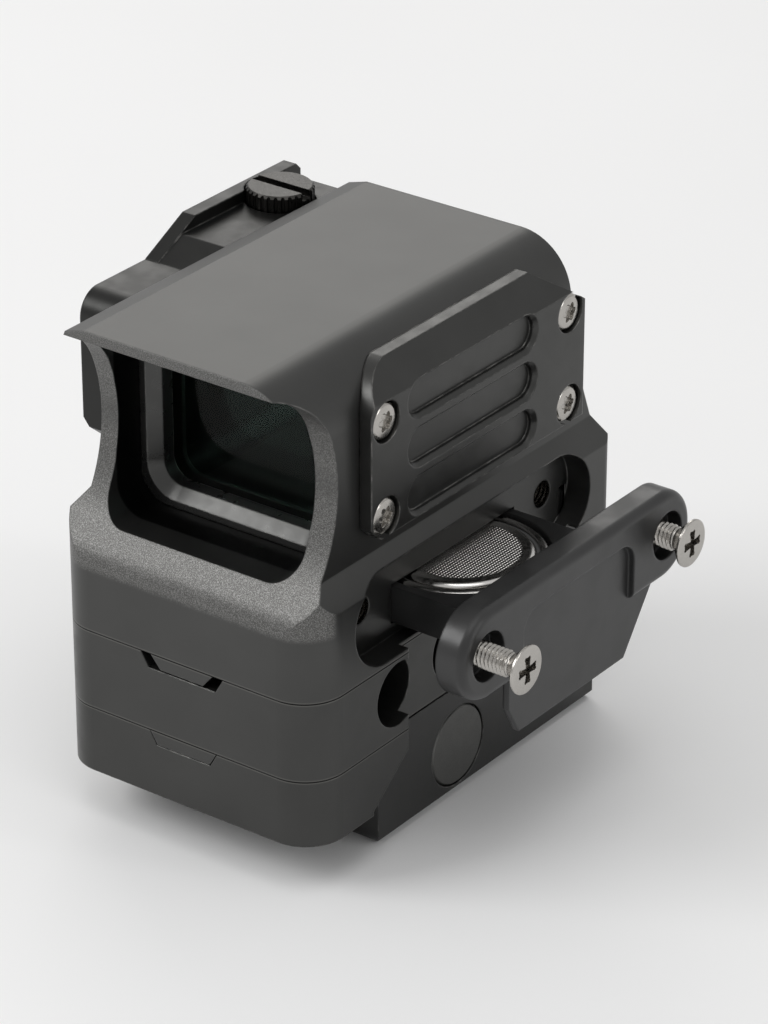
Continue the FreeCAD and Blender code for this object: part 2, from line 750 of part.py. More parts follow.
base_screw_places = [(x, y) for x in (-base_screw_x, base_screw_x) for y in (-base_screw_y, base_screw_y)]
for x, y in base_screw_places:
    pocket(riser, "z", seam_low - gap, seam_low + 5.2, (x, y, thread_wall))

print("rail_base")
base = body("rail_base")
pad(
    base,
    "z",
    Size(0, "0"),
    seam_low,
    round_rect(-half, front_y, half, rear_low_y, corner_round, corner_round / 3),
)
jaw_y = front + jaw_place
slant_y = step_y - lip_slant
jaw_space = [
    (slant_y, -beyond),
    (rear_y, -beyond),
    (rear_y, seam_low + beyond),
    (step_y, seam_low + beyond),
    (step_y, lip_low),
    (slant_y, lip_foot),
]
pocket(base, "x", jaw_inner - 0.3, half + beyond, jaw_space)
fixed_jaw = [
    (-half, gap),
    (-half, -jaw_drop + 1.2),
    (-half + 1.2, -jaw_drop),
    (-rail_half + rail_slope - 0.4, -jaw_drop),
    (-rail_half + rail_slope - 0.4, -rail_slope * 2 - gap),
    (-rail_half - gap, -rail_slope),
    (-rail_half - gap, gap),
]
pad(base, "y", jaw_y, rear_low_y, fixed_jaw)
pocket(
    base,
    "y",
    front_y - beyond,
    front_y + key_length + gap,
    key_outline(seam_low - key_depth - gap * 2, seam_low + gap, key_half + gap * 2, key_half + key_flare + gap * 2),
)
for x, y in base_screw_places:
    pocket(base, "z", -gap, seam_low + gap, (x, y, thread_wall))
    pocket(base, "z", -gap, cap_height + 1.0, (x, y, cap_radius + free_gap))
pocket(base, "x", -half - beyond, jaw_inner, (Size(0, "0"), bolt_level, bolt_radius + gap))
pin_start = jaw_inner - 0.3 - pin_depth
for y in (-pin_y, pin_y):
    pocket(base, "x", pin_start, jaw_inner, (y, pin_level, pin_radius + gap / 5))

# ---------------------------------------------------------------- the rail clamp

print("clamp")
jaw = body("clamp_jaw")
jaw_outer = inset_half
jaw_slack = free_gap * 1.5
jaw_section = [
    (rail_half - rail_slope + 0.4, -jaw_drop),
    (jaw_outer - 1.0, -jaw_drop),
    (jaw_outer, -jaw_drop + 1.0),
    (jaw_outer, seam_low - free_gap),
    (jaw_inner, seam_low - free_gap),
    (jaw_inner, -rail_slope / 2),
    (rail_half + gap, -rail_slope),
    (rail_half - rail_slope + 0.4, -rail_slope * 2 + 0.4 - gap),
]
pad(jaw, "y", jaw_y, rear_low_y, jaw_section)
jaw_corner = [
    (jaw_y - beyond, lip_foot - beyond * lip_low / lip_slant),
    (slant_y + jaw_slack, lip_foot - jaw_slack),
    (step_y + jaw_slack, lip_low - jaw_slack),
    (step_y + jaw_slack, seam_low + beyond),
    (jaw_y - beyond, seam_low + beyond),
]
pocket(jaw, "x", rail_half - rail_slope, half + beyond, jaw_corner)
fillet(
    jaw,
    1.8,
    lambda e: near(e.CenterOfMass.y, jaw_y) and runs_along(e, "x") and near(e.CenterOfMass.z, -jaw_drop),
)
pocket(jaw, "x", rail_half - rail_slope, half, (Size(0, "0"), bolt_level, bolt_radius + gap))
pocket(jaw, "x", jaw_outer - disc_depth, half, (Size(0, "0"), bolt_level, disc_radius + gap))
for y in (-pin_y, pin_y):
    pocket(jaw, "x", jaw_inner - gap, jaw_inner + 3.8, (y, pin_level, pin_radius + gap))

pins = []
for side in (-1, 1):
    profile = [
        (0, 0),
        (pin_radius, 0),
        (pin_radius, pin_length - 0.4),
        (pin_radius - 0.4, pin_length),
        (0, pin_length),
    ]
    pin = turned(f"pin_{side}", profile, pin_start, pin_y * side, pin_level, "right", keep=False)
    pins.append(pin)
group("jaw_guide_pins", pins)

nut_face = half + washer_depth
bolt_end = nut_face + nut_depth - 0.8
bolt_profile = [
    (0, 0),
    (disc_radius - 0.3, 0),
    (disc_radius, 0.3),
    (disc_radius, disc_depth),
    (bolt_radius, disc_depth),
    (bolt_radius, jaw_outer + bolt_end - 0.5),
    (bolt_radius - 0.5, jaw_outer + bolt_end),
    (0, jaw_outer + bolt_end),
]
turned("cross_bolt", bolt_profile, jaw_outer, 0, bolt_level, "left")
washer_profile = [
    (bolt_radius + 0.2, 0),
    (nut_radius - 1.0, 0),
    (nut_radius - 1.0, washer_depth - gap),
    (bolt_radius + 0.2, washer_depth - gap),
]
turned("nut_washer", washer_profile, -half, 0, bolt_level, "left")
nut_profile = [
    (bolt_radius + gap, 0),
    (nut_radius - 0.8, 0),
    (nut_radius - 0.8, 0.9),
    (nut_radius, 1.2),
    (nut_radius, nut_depth - 0.6),
    (nut_radius - 0.6, nut_depth),
    (bolt_radius + gap, nut_depth),
]
nut = turned("clamp_nut", nut_profile, -nut_face, 0, bolt_level, "left")
slot_outline = rect(-nut_radius - 1, -coin_slot / 2, nut_radius + 1, coin_slot / 2)
pocket(nut, "z", nut_depth - 1.8, nut_depth, slot_outline)

# ---------------------------------------------------------------- screws of the stack


def cap_screw(label, x, y, z, shank, facing="up"):
    """An M3 socket cap screw, its head resting at z and its shank along the way it faces."""
    profile = [
        (0, -cap_height + 1.4),
        (1.3, -cap_height + 1.4),
        (1.3, -cap_height),
        (cap_radius - 0.2, -cap_height),
        (cap_radius, -cap_height + 0.2),
        (cap_radius, 0),
        (drawer_thread, 0),
        (drawer_thread, shank - 0.3),
        (drawer_thread - 0.3, shank),
        (0, shank),
    ]
    return turned(label, profile, x, y, z, facing, keep=False)


print("screws")
shank_up = riser_height - cap_height - free_gap + 5.0
group(
    "riser_screws",
    [cap_screw(f"riser_screw_{i}", x, y, seam_low + cap_height + free_gap, shank_up)
     for i, (x, y) in enumerate(body_screw_places)],
)
shank_low = seam_low - cap_height - 1.0 + 4.8
group(
    "base_screws",
    [cap_screw(f"base_screw_{i}", x, y, cap_height + 1.0, shank_low)
     for i, (x, y) in enumerate(base_screw_places)],
)

# ---------------------------------------------------------------- window frames, seals and glasses


def window_ring(label, low_y, high_y, reach, band, shrink=gap):
    """A ring that fits the window tunnel, and leaves an opening inside its band."""
    ring = body(label)
    corner = window_round - shrink
    pad(
        ring,
        "y",
        low_y,
        high_y,
        round_rect(
            -reach + shrink,
            window_low + shrink,
            reach - shrink,
            window_high - shrink,
            corner,
            tunnel_round,
        ),
    )
    pocket(
        ring,
        "y",
        low_y - beyond,
        high_y + beyond,
        round_rect(
            -reach + band,
            window_low + band,
            reach - band,
            window_high - band,
            window_round - 1.0,
            inner_round,
        ),
    )
    return ring


def glass(label, low_y, high_y):
    pane = body(label)
    pad(
        pane,
        "y",
        low_y,
        high_y,
        round_rect(
            -window_half + gap * 2,
            window_low + gap * 2,
            window_half - gap * 2,
            window_high - gap * 2,
            window_round - gap * 2,
            tunnel_round,
        ),
    )
    return pane


print("windows")
front_ring = window_ring("front_window_frame", frame_front_y, lens_y, window_half, frame_band)


def inner_front_edge(edge):
    """The frame's front edges that face the opening."""
    box = edge.BoundBox
    across = number(window_half - frame_band) + 0.1
    inside = box.XMin > -across and box.XMax < across
    low, high = number(window_low + frame_band) - 0.1, number(window_high - frame_band) + 0.1
    return near(edge.CenterOfMass.y, frame_front_y) and inside and box.ZMin > low and box.ZMax < high


chamfer(front_ring, 1.3, inner_front_edge)
glass("front_glass", lens_y, lens_back_y)
window_ring("front_window_seal", front_seal_y, front_seal_y + seal_depth - gap, window_half, seat_lip + 0.6)
window_ring("rear_window_seal", rear_seal_y + gap, rear_glass_y, window_half, seat_lip + 0.6)
glass("rear_glass", rear_glass_y, rear_frame_y)
window_ring("rear_window_frame", rear_frame_y, rear_open_y, window_half, frame_band * 0.8)

# ---------------------------------------------------------------- side plate

print("side_plate")
plate_bed = hood_right + gap
plate = body("side_plate")
plate_y0 = front + plate_front
plate_y1 = front + plate_rear
plate_outline = [
    (plate_y0 + 1.6, plate_low),
    (plate_y1, plate_low),
    (plate_y1, plate_high - 5.1),
    (plate_y1 - 7.4, plate_high),
    (plate_y0 + 5.3, plate_high, 6.6),
    (plate_y0, plate_high - 4.6),
    (plate_y0, plate_low + 1.6),
]
pad(plate, "x", hood_right - hood_round, half, plate_outline)
plate_crest = hood_right - 0.9
slanting = [
    (plate_crest, plate_high),
    (half, plate_bend),
    (half + beyond, plate_bend),
    (half + beyond, plate_high + beyond),
    (plate_crest, plate_high + beyond),
]
pocket(plate, "y", front_y - beyond, rear_y + beyond, slanting)
hood_space = [
    (-half, plate_low - beyond),
    (plate_bed, plate_low - beyond),
    (plate_bed, roof_level - hood_round, hood_round + gap),
    (plate_bed - hood_round - gap, roof_level + gap),
    (-half, roof_level + gap),
]
pocket(plate, "y", front_y - beyond, rear_y + beyond, hood_space)
groove_mid_y = plate_y0 + 18.3
for step in (-1, 0, 1):
    z = plate_low + 8.2 + groove_pitch * step
    pocket(plate, "x", half - groove_depth, half + gap, stadium(groove_mid_y, z, groove_reach, groove_radius))
    mouth = stadium(groove_mid_y, z, groove_reach, groove_radius + groove_bevel)
    pocket(plate, "x", half - groove_bevel, half, mouth).TaperAngle = -45.0
for y, z in plate_screws:
    pocket(plate, "x", plate_bed - gap, half + beyond, (y, z, small_thread))
    pocket(plate, "x", plate_bed + 0.45, half + beyond, (y, z, head_radius))


def button_screw(label, x, y, z, facing, shank):
    """An M2.5 low-head screw with a star recess, its head's seat at the point."""
    profile = [
        (0, 0.45),
        (0.7, 0.45),
        (0.8, 1.1),
        (1.4, 1.1),
        (2.1, 0.6),
        (2.1, 0),
        (1.25, 0),
        (1.25, -shank + 0.2),
        (1.05, -shank),
        (0, -shank),
    ]
    return turned(label, profile, x, y, z, facing, keep=False)


group(
    "side_plate_screws",
    [button_screw(f"plate_screw_{i}", plate_bed + 0.45, y, z, "right", 2.2)
     for i, (y, z) in enumerate(plate_screws)],
)

# ---------------------------------------------------------------- adjuster housing and its works

print("adjusters")
box_inner = hood_left + seal_depth_box
box_y0 = front + box_front
box_y1 = front + box_rear
deck_end = box_y0 + 11.4
ramp_end = box_y0 + 15.6
box = body("adjuster_housing")
box_outline = [
    (box_y0, box_low + 1.5),
    (box_y0 + 1.5, box_low),
    (box_y1, box_low),
    (box_y1, platform_level - 1.0),
    (box_y1 - 1.0, platform_level),
    (ramp_end, platform_level),
    (deck_end, deck_level),
    (box_y0 + 3.0, deck_level, 3.0),
    (box_y0, deck_level - 3.0),
]
pad(box, "x", -box_outer, -box_inner, box_outline)
fence = [
    (deck_end - 1.0, deck_level - 1.0),
    (box_y1, deck_level - 1.0),
    (box_y1, fence_level - 0.8),
    (box_y1 - 0.8, fence_level),
    (ramp_end + 2.4, fence_level),
    (deck_end, deck_level + 0.1),
]
pad(box, "x", -box_outer, -box_outer + fence_depth, fence)
lower_edge = [
    (-box_outer - beyond, box_low - beyond),
    (-box_outer + 2.0, box_low - beyond),
    (-box_outer + 2.0, box_low),
    (-box_outer, box_low + 2.5),
    (-box_outer - beyond, box_low + 2.5),
]
pocket(box, "y", box_y0 - beyond, box_y1 + beyond, lower_edge)
pocket(
    box,
    "x",
    -box_outer + box_wall,
    -box_inner + gap,
    rect(chamber_front, chamber_low, chamber_rear, chamber_high),
)
guide_high = chamber_high + 2.4
guide = rect(
    -turret_x - guide_half - gap,
    turret_y - guide_half - gap,
    -turret_x + guide_half + gap,
    turret_y + guide_half + gap,
)
pocket(box, "z", chamber_high - gap, guide_high, guide)
turret_seat = platform_level - turret_height + 1.8
pocket(box, "z", guide_high - gap, platform_level + gap, (-turret_x, turret_y, spindle_radius + gap))
pocket(box, "z", turret_seat, platform_level + beyond, (-turret_x, turret_y, turret_radius + free_gap))
sink_circle = (windage_y, windage_z, turret_radius + free_gap)
pocket(box, "x", -box_outer - gap, -box_outer + windage_sink, sink_circle)
pocket(
    box,
    "x",
    -box_outer,
    -box_outer + box_wall + gap,
    (windage_y, windage_z, spindle_radius + gap),
)
for y, z in box_screws:
    pocket(box, "x", -box_outer - gap, -box_inner + gap, (y, z, small_thread))
    pocket(box, "x", -box_outer - gap, -box_outer + 1.9, (y, z, head_radius))

gasket = body("adjuster_gasket")
pad(
    gasket,
    "x",
    -box_inner + gap / 2,
    -hood_left - gap / 2,
    rect(box_y0 + 0.6, box_low + 0.6, box_y1 - 0.6, deck_level - 0.6),
)
pocket(
    gasket,
    "x",
    -box_inner - gap,
    -hood_left + gap,
    rect(chamber_front, chamber_low, chamber_rear, chamber_high),
)
for y, z in box_screws:
    pocket(gasket, "x", -box_inner - gap, -hood_left + gap, (y, z, small_thread + free_gap))
box_shank = box_outer - 1.9 - box_inner + seal_depth_box + 1.5
group(
    "adjuster_housing_screws",
    [button_screw(f"box_screw_{i}", -box_outer + 1.9, y, z, "left", box_shank)
     for i, (y, z) in enumerate(box_screws)],
)


def knob(label, height, slot_width):
    """A low knurled knob with a coin slot across its top."""
    profile = [
        (spindle_radius, 0),
        (turret_radius - 0.4, 0),
        (turret_radius - 0.4, 0.5),
        (turret_radius, 0.8),
        (turret_radius, height - 0.3),
        (turret_radius - 0.3, height),
        (0, height),
        (0, height - 1.9),
        (spindle_radius, height - 1.9),
    ]
    made = turned(label, profile, 0, 0, 0)
    sketch = sketch_at(made, "z", height, [(turret_radius, Size(0, "0"), flute_radius)])
    flute = made.newObject("PartDesign::Pocket", "Flute")
    flute.Profile = sketch
    flute.Length = number(height) - 0.9
    bind(flute, "Length", height - 0.9)
    pattern = made.newObject("PartDesign::PolarPattern", "Flutes")
    pattern.Originals = [flute]
    pattern.Axis = (sketch, ["N_Axis"])
    pattern.Occurrences = 30
    made.Tip = pattern
    slot_outline = rect(-turret_radius - 1, -slot_width / 2, turret_radius + 1, slot_width / 2)
    pocket(made, "z", height - 0.9, height, slot_outline)
    return made


elevation = knob("elevation_knob", turret_height, knob_slot)
place(elevation, -turret_x, turret_y, turret_seat + gap)
windage = knob("windage_knob", windage_sink + 1.3, knob_slot)
place(windage, -box_outer + windage_sink - gap, windage_y, windage_z, "left")


def spindle(label, span, x, y, z, facing):
    """A threaded spindle, drawn at its thread's outside, with a bevelled tip."""
    profile = [
        (0, 0),
        (spindle_radius - 0.3, 0),
        (spindle_radius, 0.3),
        (spindle_radius, span),
        (0, span),
    ]
    return turned(label, profile, x, y, z, facing)


rise_foot = chamber_high - 2.6
elevation_top = turret_seat + gap + turret_height - 1.9
spindle("elevation_spindle", elevation_top - rise_foot, -turret_x, turret_y, rise_foot, "up")
windage_end = box_outer - 5.0
windage_span = box_outer - windage_sink + gap + windage_sink + 1.3 - 1.9 - windage_end
spindle("windage_spindle", windage_span, -windage_end, windage_y, windage_z, "left")


def ring_seal(label, x, y, z, facing):
    """The o-ring round a spindle, pressed square in its groove under the knob."""
    profile = [
        (spindle_radius + gap / 2, 0),
        (spindle_radius + 0.7, 0),
        (spindle_radius + 0.7, 0.45),
        (spindle_radius + gap / 2, 0.45),
    ]
    return turned(label, profile, x, y, z, facing)


seal_groove = spindle_radius + 0.75
pocket(box, "z", turret_seat - 0.5, turret_seat + gap, (-turret_x, turret_y, seal_groove))
ring_seal("elevation_seal", -turret_x, turret_y, turret_seat - 0.48, "up")
windage_seat = -box_outer + windage_sink
pocket(box, "x", windage_seat - gap, windage_seat + 0.5, (windage_y, windage_z, seal_groove))
ring_seal("windage_seal", windage_seat + 0.48, windage_y, windage_z, "left")

plunger = body("elevation_plunger")
block_top = chamber_high - 4.0
plunger_low = block_top + 0.1
plunger_high = guide_high - lift - free_gap
plunger_square = rect(
    -turret_x - guide_half + gap / 2,
    turret_y - guide_half + gap / 2,
    -turret_x + guide_half - gap / 2,
    turret_y + guide_half - gap / 2,
)
pad(plunger, "z", plunger_low, plunger_high, plunger_square)
pocket(plunger, "z", rise_foot - lift - free_gap, guide_high, (-turret_x, turret_y, spindle_radius + gap))

carriage = body("windage_carriage")
carriage_x0 = -box_outer + box_wall + lift + free_gap
carriage_x1 = carriage_x0 + 2.2
block_low = chamber_low + lift + free_gap
key_y = (chamber_front + windage_y) / 2 - 0.6
rail_round = rect(chamber_front + free_gap / 2, chamber_low + free_gap / 2, chamber_rear - free_gap / 2, block_top - 1.4)
pad(carriage, "x", carriage_x0, carriage_x1, rail_round)
pocket(carriage, "x", carriage_x0 - gap, carriage_x1 + gap, (windage_y, windage_z, spindle_radius + gap))
pocket(
    carriage,
    "z",
    chamber_low,
    chamber_high,
    rect(carriage_x1 - 1.0, key_y - 1.5, carriage_x1 + gap, key_y + 1.5),
)

emitter = body("emitter_block")
emitter_front_y = chamber_front + 2.6
emitter_x0 = carriage_x1 + gap
emitter_x1 = -hood_left + 1.1
pad(emitter, "x", emitter_x0, emitter_x1, rect(emitter_front_y, block_low, windage_y - 0.2, block_top))
pocket(
    emitter,
    "x",
    emitter_x0 - gap,
    -turret_x + guide_half + free_gap,
    rect(windage_y - 1.7, block_low - gap, windage_y, windage_z + spindle_radius + lift + free_gap),
)
pad(
    emitter,
    "x",
    emitter_x0 - 0.9,
    emitter_x0 + gap,
    rect(key_y - 1.5 + gap, block_low, key_y + 1.5 - gap, block_top - 1.6),
)
lamp_x = emitter_x1 - 2.0
lamp_z = (block_low + block_top) / 2
pocket(emitter, "y", emitter_front_y - gap, emitter_front_y + 2.6, (lamp_x, lamp_z, lamp_radius + gap))
lamp_profile = [
    (0, 0),
    (lamp_radius - 0.3, 0),
    (lamp_radius - 0.3, 0.3),
    (lamp_radius, 0.3),
    (lamp_radius, 1.2),
    (0, 1.2),
]
turned("light_emitter", lamp_profile, lamp_x, emitter_front_y + 2.5, lamp_z, "front")
lens_profile = [
    (0, 0),
    (lamp_radius, 0),
    (lamp_radius, 0.9),
    (lamp_radius - 0.35, 1.25),
    (lamp_radius - 0.7, 1.4),
    (0, 1.4),
]
turned("emitter_lens", lens_profile, lamp_x, emitter_front_y + 1.2, lamp_z, "front")

# ---------------------------------------------------------------- electronics, rear cover and buttons

print("electronics")
board_y = rear_y - 7.6
button_z = (cover_low + cover_high) / 2
board = body("circuit_board")
pad(
    board,
    "y",
    board_y,
    board_y + 1.0,
    rect(-cavity_half + free_gap, cavity_low + free_gap, cavity_half - free_gap, cavity_high - free_gap),
)
switches = []
for side in (-1, 1):
    switch = turned(
        f"switch_{side}",
        [(0, 0), (2.2, 0), (2.2, 1.2), (1.1, 1.2), (1.1, 1.7), (0, 1.7)],
        button_x * side,
        board_y + 1.0,
        button_z,
        "rear",
        keep=False,
    )
    switches.append(switch)
chip = doc.addObject("Part::Box", "chip")
bind(chip, "Length", chip_length)
bind(chip, "Width", chip_depth)
bind(chip, "Height", chip_length)
bind(chip, "Placement.Base.x", -chip_length / 2)
bind(chip, "Placement.Base.y", board_y - chip_depth)
bind(chip, "Placement.Base.z", button_z - chip_length / 2)
group("board_parts", [*switches, chip])

cover = body("rear_cover")
pad(
    cover,
    "y",
    rear_y - cover_depth,
    rear_y - gap,
    round_rect(-cover_half, cover_low, cover_half, cover_high, cover_round, cover_round),
)
for side in (-1, 1):
    pocket(cover, "y", rear_y - cover_depth - gap, rear_y, (button_x * side, button_z, button_radius + 0.06))
    screw_circle = ((cavity_half + 1.1) * side, button_z, small_thread * 0.55)
    pocket(cover, "y", rear_y - cover_depth - gap, rear_y, screw_circle)
    pocket(cover, "y", rear_y - 0.8, rear_y, ((cavity_half + 1.1) * side, button_z, Size(1.05, "1.05")))
cover_screws = []
for side in (-1, 1):
    profile = [(0, 0), (0.6, 0), (0.6, 2.6), (0.95, 2.6), (0.95, 3.3), (0.4, 3.3), (0.4, 2.9), (0, 2.9)]
    x = (cavity_half + 1.1) * side
    cover_screws.append(turned(f"cover_screw_{side}", profile, x, rear_y - 3.4, button_z, "rear", keep=False))
group("rear_cover_screws", cover_screws)
button_foot = board_y + 2.7 + button_travel + 0.1
for label, side in (("brighter_button", 1), ("dimmer_button", -1)):
    span = rear_y + 0.9 - button_foot
    profile = [
        (0, 0),
        (button_radius + 0.6, 0),
        (button_radius + 0.6, 0.8),
        (button_radius, 0.8),
        (button_radius, span - 0.5),
        (button_radius - 0.5, span),
        (0, span),
    ]
    turned(label, profile, button_x * side, button_foot, button_z, "rear")

# ---------------------------------------------------------------- battery drawer and its coin cell

print("battery_drawer")
bezel_x = closed_x + drawer_out
face_x = bezel_x + bezel_depth
bezel_half = recess_half
cell_x = bezel_x - tray_reach + 1.2 + cell_radius + 0.4
drawer = body("battery_drawer")
pad(drawer, "x", bezel_x, face_x, stadium(drawer_y, drawer_z, bezel_half, bezel_round))
fillet(drawer, bezel_edge, lambda e: near(e.BoundBox.XMin, face_x) and near(e.BoundBox.XMax, face_x))
skirt_top = drawer_z - bezel_round + 1.0
skirt_front = step_y + free_gap * 2
skirt_foot = drawer_z - skirt_drop
skirt = [
    (skirt_front, skirt_top),
    (skirt_front, skirt_foot + 3.5),
    (skirt_front + 2.0, skirt_foot),
    (drawer_y + skirt_side, skirt_foot),
    (drawer_y + screw_half - 1.0, skirt_top),
]
pad(drawer, "x", face_x - skirt_depth, face_x - dish_depth, skirt)
pad(
    drawer,
    "x",
    bezel_x - tray_reach,
    bezel_x + gap,
    rect(drawer_y - tray_half, tray_low, drawer_y + tray_half, tray_high),
)
pocket(drawer, "z", tray_low + cell_floor, tray_high + gap, (cell_x, drawer_y, cell_radius + free_gap))
groove_run = bezel_half - 8.6
dish_high = drawer_z + dish_radius - 0.4
dish = [
    (drawer_y - groove_run - dish_radius, skirt_foot - 1.0),
    (drawer_y + groove_run + dish_radius, skirt_foot - 1.0),
    (drawer_y + groove_run + dish_radius, dish_high - dish_radius, dish_radius),
    (drawer_y + groove_run, dish_high),
    (drawer_y - groove_run, dish_high, dish_radius),
    (drawer_y - groove_run - dish_radius, dish_high - dish_radius),
]
pocket(drawer, "x", face_x - dish_depth, face_x + gap, dish)
for side in (-1, 1):
    y = drawer_y + screw_half * side
    pocket(drawer, "x", bezel_x - gap, face_x + gap, (y, drawer_z, thread_wall + gap))
    pocket(drawer, "x", face_x - 1.9, face_x + gap, (y, drawer_z, sink_radius))

seal_ring = body("drawer_seal")
seal_y = tray_half + 0.9
seal_bottom = tray_low - 0.5
seal_top = tray_high + 0.9
pocket(
    drawer,
    "x",
    bezel_x - gap,
    bezel_x + 0.8,
    rect(drawer_y - seal_y - gap, seal_bottom - gap, drawer_y + seal_y + gap, seal_top + gap),
)
tray_root = rect(drawer_y - tray_half, tray_low, drawer_y + tray_half, tray_high)
pad(drawer, "x", bezel_x - gap, bezel_x + 1.0, tray_root)
pad(
    seal_ring,
    "x",
    bezel_x + gap,
    bezel_x + 0.8 - gap,
    rect(drawer_y - seal_y, seal_bottom, drawer_y + seal_y, seal_top),
)
pocket(
    seal_ring,
    "x",
    bezel_x - gap,
    bezel_x + 0.8,
    rect(drawer_y - tray_half - gap, tray_low - gap, drawer_y + tray_half + gap, tray_high + gap),
)

cell_z = tray_low + cell_floor + gap
can_profile = [
    (0, 0),
    (cell_radius - 0.4, 0),
    (cell_radius, 0.4),
    (cell_radius, cell_height - 0.7, Size(0.7, "0.7")),
    (cell_radius - 0.7, cell_height),
    (cell_radius - 1.1, cell_height),
    (cell_radius - 1.1, cell_height - 0.3),
    (cell_radius - 0.35, cell_height - 0.9),
    (cell_radius - 0.35, 0.35),
    (0, 0.35),
]
turned("coin_cell_can", can_profile, cell_x, drawer_y, cell_z)
ring_profile = [
    (cell_radius - 1.6, cell_height - 0.3),
    (cell_radius - 1.6, 0.6),
    (cell_radius - 0.4, 0.6),
    (cell_radius - 0.4, cell_height - 0.95),
    (cell_radius - 1.2, cell_height - 0.35),
]
turned("coin_cell_ring", ring_profile, cell_x, drawer_y, cell_z)
cap_profile = [
    (0, 0.45),
    (cell_radius - 1.65, 0.45),
    (cell_radius - 1.65, cell_height - 0.5, Size(0.7, "0.7")),
    (cell_radius - 2.35, cell_height + 0.2),
    (0, cell_height + 0.2),
]
turned("coin_cell_cap", cap_profile, cell_x, drawer_y, cell_z)


def drawer_screw(label, side, backout):
    """An M3 countersunk screw, backed out of the bezel, with a cross recess."""
    cone_end = screw_span - 0.4
    profile = [
        (0, 0),
        (drawer_thread - 0.3, 0),
        (drawer_thread, 0.3),
        (drawer_thread, cone_end - 1.25),
        (screw_head, cone_end),
        (screw_head, screw_span - 0.15),
        (screw_head - 0.45, screw_span),
        (0, screw_span),
    ]
    y = drawer_y + screw_half * side
    made = turned(label, profile, face_x + backout - screw_span, y, drawer_z, "right")
    for u, v in ((1.45, 0.28), (0.28, 1.45)):
        wide_u, wide_v = Size(u, str(u)), Size(v, str(v))
        pocket(made, "z", screw_span - 1.4, screw_span + gap, rect(-wide_u, -wide_v, wide_u, wide_v))
    return made


drawer_screw("front_drawer_screw", -1, front_backout)
drawer_screw("rear_drawer_screw", 1, rear_backout)

can_contact = body("can_contact")
pad(
    can_contact,
    "x",
    tray_end_x - free_gap + gap,
    tray_end_x - free_gap + gap + 0.1,
    rect(drawer_y - 3.0, tray_low, drawer_y + 3.0, tray_high),
)
cap_contact = body("cap_contact")
pocket(
    housing,
    "z",
    tray_high,
    tray_high + free_gap + contact_depth + gap,
    rect(Size(-8.0, "0-8"), drawer_y - 2.0, Size(6.0, "6"), drawer_y + 2.0),
)
pad(
    cap_contact,
    "z",
    tray_high + free_gap + gap / 2,
    tray_high + free_gap + contact_depth,
    rect(Size(-7.9, "0-7.9"), drawer_y - 1.9, Size(5.9, "5.9"), drawer_y + 1.9),
)

# ---------------------------------------------------------------- side plate gasket

plate_gasket = body("side_plate_gasket")
pocket(
    housing,
    "x",
    hood_right - plate_seal_depth,
    hood_right + gap,
    rect(plate_y0 + 6.0, plate_low + 1.4, plate_y1 - 6.4, plate_low + 12.0),
)
pad(
    plate_gasket,
    "x",
    hood_right - plate_seal_depth + gap / 5,
    hood_right,
    rect(plate_y0 + 6.1, plate_low + 1.5, plate_y1 - 6.5, plate_low + 11.9),
)
pocket(
    plate_gasket,
    "x",
    hood_right - plate_seal_depth - gap,
    hood_right + gap,
    rect(plate_y0 + 7.3, plate_low + 2.7, plate_y1 - 7.7, plate_low + 10.7),
)

# ---------------------------------------------------------------- checks and files

doc.recompute()
for thing in doc.Objects:
    if "Invalid" in thing.State or "Error" in thing.State:
        raise ValueError(f"{thing.Label} is in state {thing.State}")
os.makedirs("parts", exist_ok=True)
for label, made in nodes.items():
    shape = made.Shape
    if shape.isNull() or not shape.isValid() or not shape.Solids:
        raise ValueError(f"{label} has no valid solid")
    shape.exportStep(f"parts/{label}.step")
    print(f"{label}: {len(shape.Solids)} solid(s), {shape.Volume:.1f} mm3")
print(f"{len(nodes)} nodes written")
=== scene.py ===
# %% [markdown]
# # An enclosed reflex sight
# The real object is a small machined aluminium sight on a riser and a rail clamp, with its battery
# drawer pulled part-way out. Its CAD model already has every piece in its real place and size, so it
# is loaded as a fixed frame, and the work here is finishes, thread detail, light and a camera.

# %% Load the frame
import json
import math

import bmesh
import bpy
from mathutils import Matrix, Vector


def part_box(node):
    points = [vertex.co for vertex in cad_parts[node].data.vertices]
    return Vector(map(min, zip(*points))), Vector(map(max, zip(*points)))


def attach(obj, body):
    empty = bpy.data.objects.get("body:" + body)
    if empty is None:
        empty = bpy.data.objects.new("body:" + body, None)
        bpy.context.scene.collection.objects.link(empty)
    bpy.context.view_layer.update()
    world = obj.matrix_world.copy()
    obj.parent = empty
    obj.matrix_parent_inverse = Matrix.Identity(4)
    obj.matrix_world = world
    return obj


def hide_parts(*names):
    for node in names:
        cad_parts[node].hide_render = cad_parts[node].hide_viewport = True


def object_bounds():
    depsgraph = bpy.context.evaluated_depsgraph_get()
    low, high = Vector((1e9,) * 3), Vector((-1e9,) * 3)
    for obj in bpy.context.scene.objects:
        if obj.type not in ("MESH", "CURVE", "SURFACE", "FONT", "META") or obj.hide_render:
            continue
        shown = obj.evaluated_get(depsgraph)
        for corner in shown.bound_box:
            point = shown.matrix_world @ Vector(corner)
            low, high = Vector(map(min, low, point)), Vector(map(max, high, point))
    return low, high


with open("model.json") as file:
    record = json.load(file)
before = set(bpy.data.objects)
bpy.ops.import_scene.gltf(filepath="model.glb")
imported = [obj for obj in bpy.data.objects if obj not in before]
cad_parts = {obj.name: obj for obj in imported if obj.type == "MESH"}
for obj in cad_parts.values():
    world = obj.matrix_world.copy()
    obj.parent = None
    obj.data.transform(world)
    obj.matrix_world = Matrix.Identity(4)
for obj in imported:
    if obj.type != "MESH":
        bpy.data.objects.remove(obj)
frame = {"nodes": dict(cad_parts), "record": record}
cad_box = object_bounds()
MM = 0.001
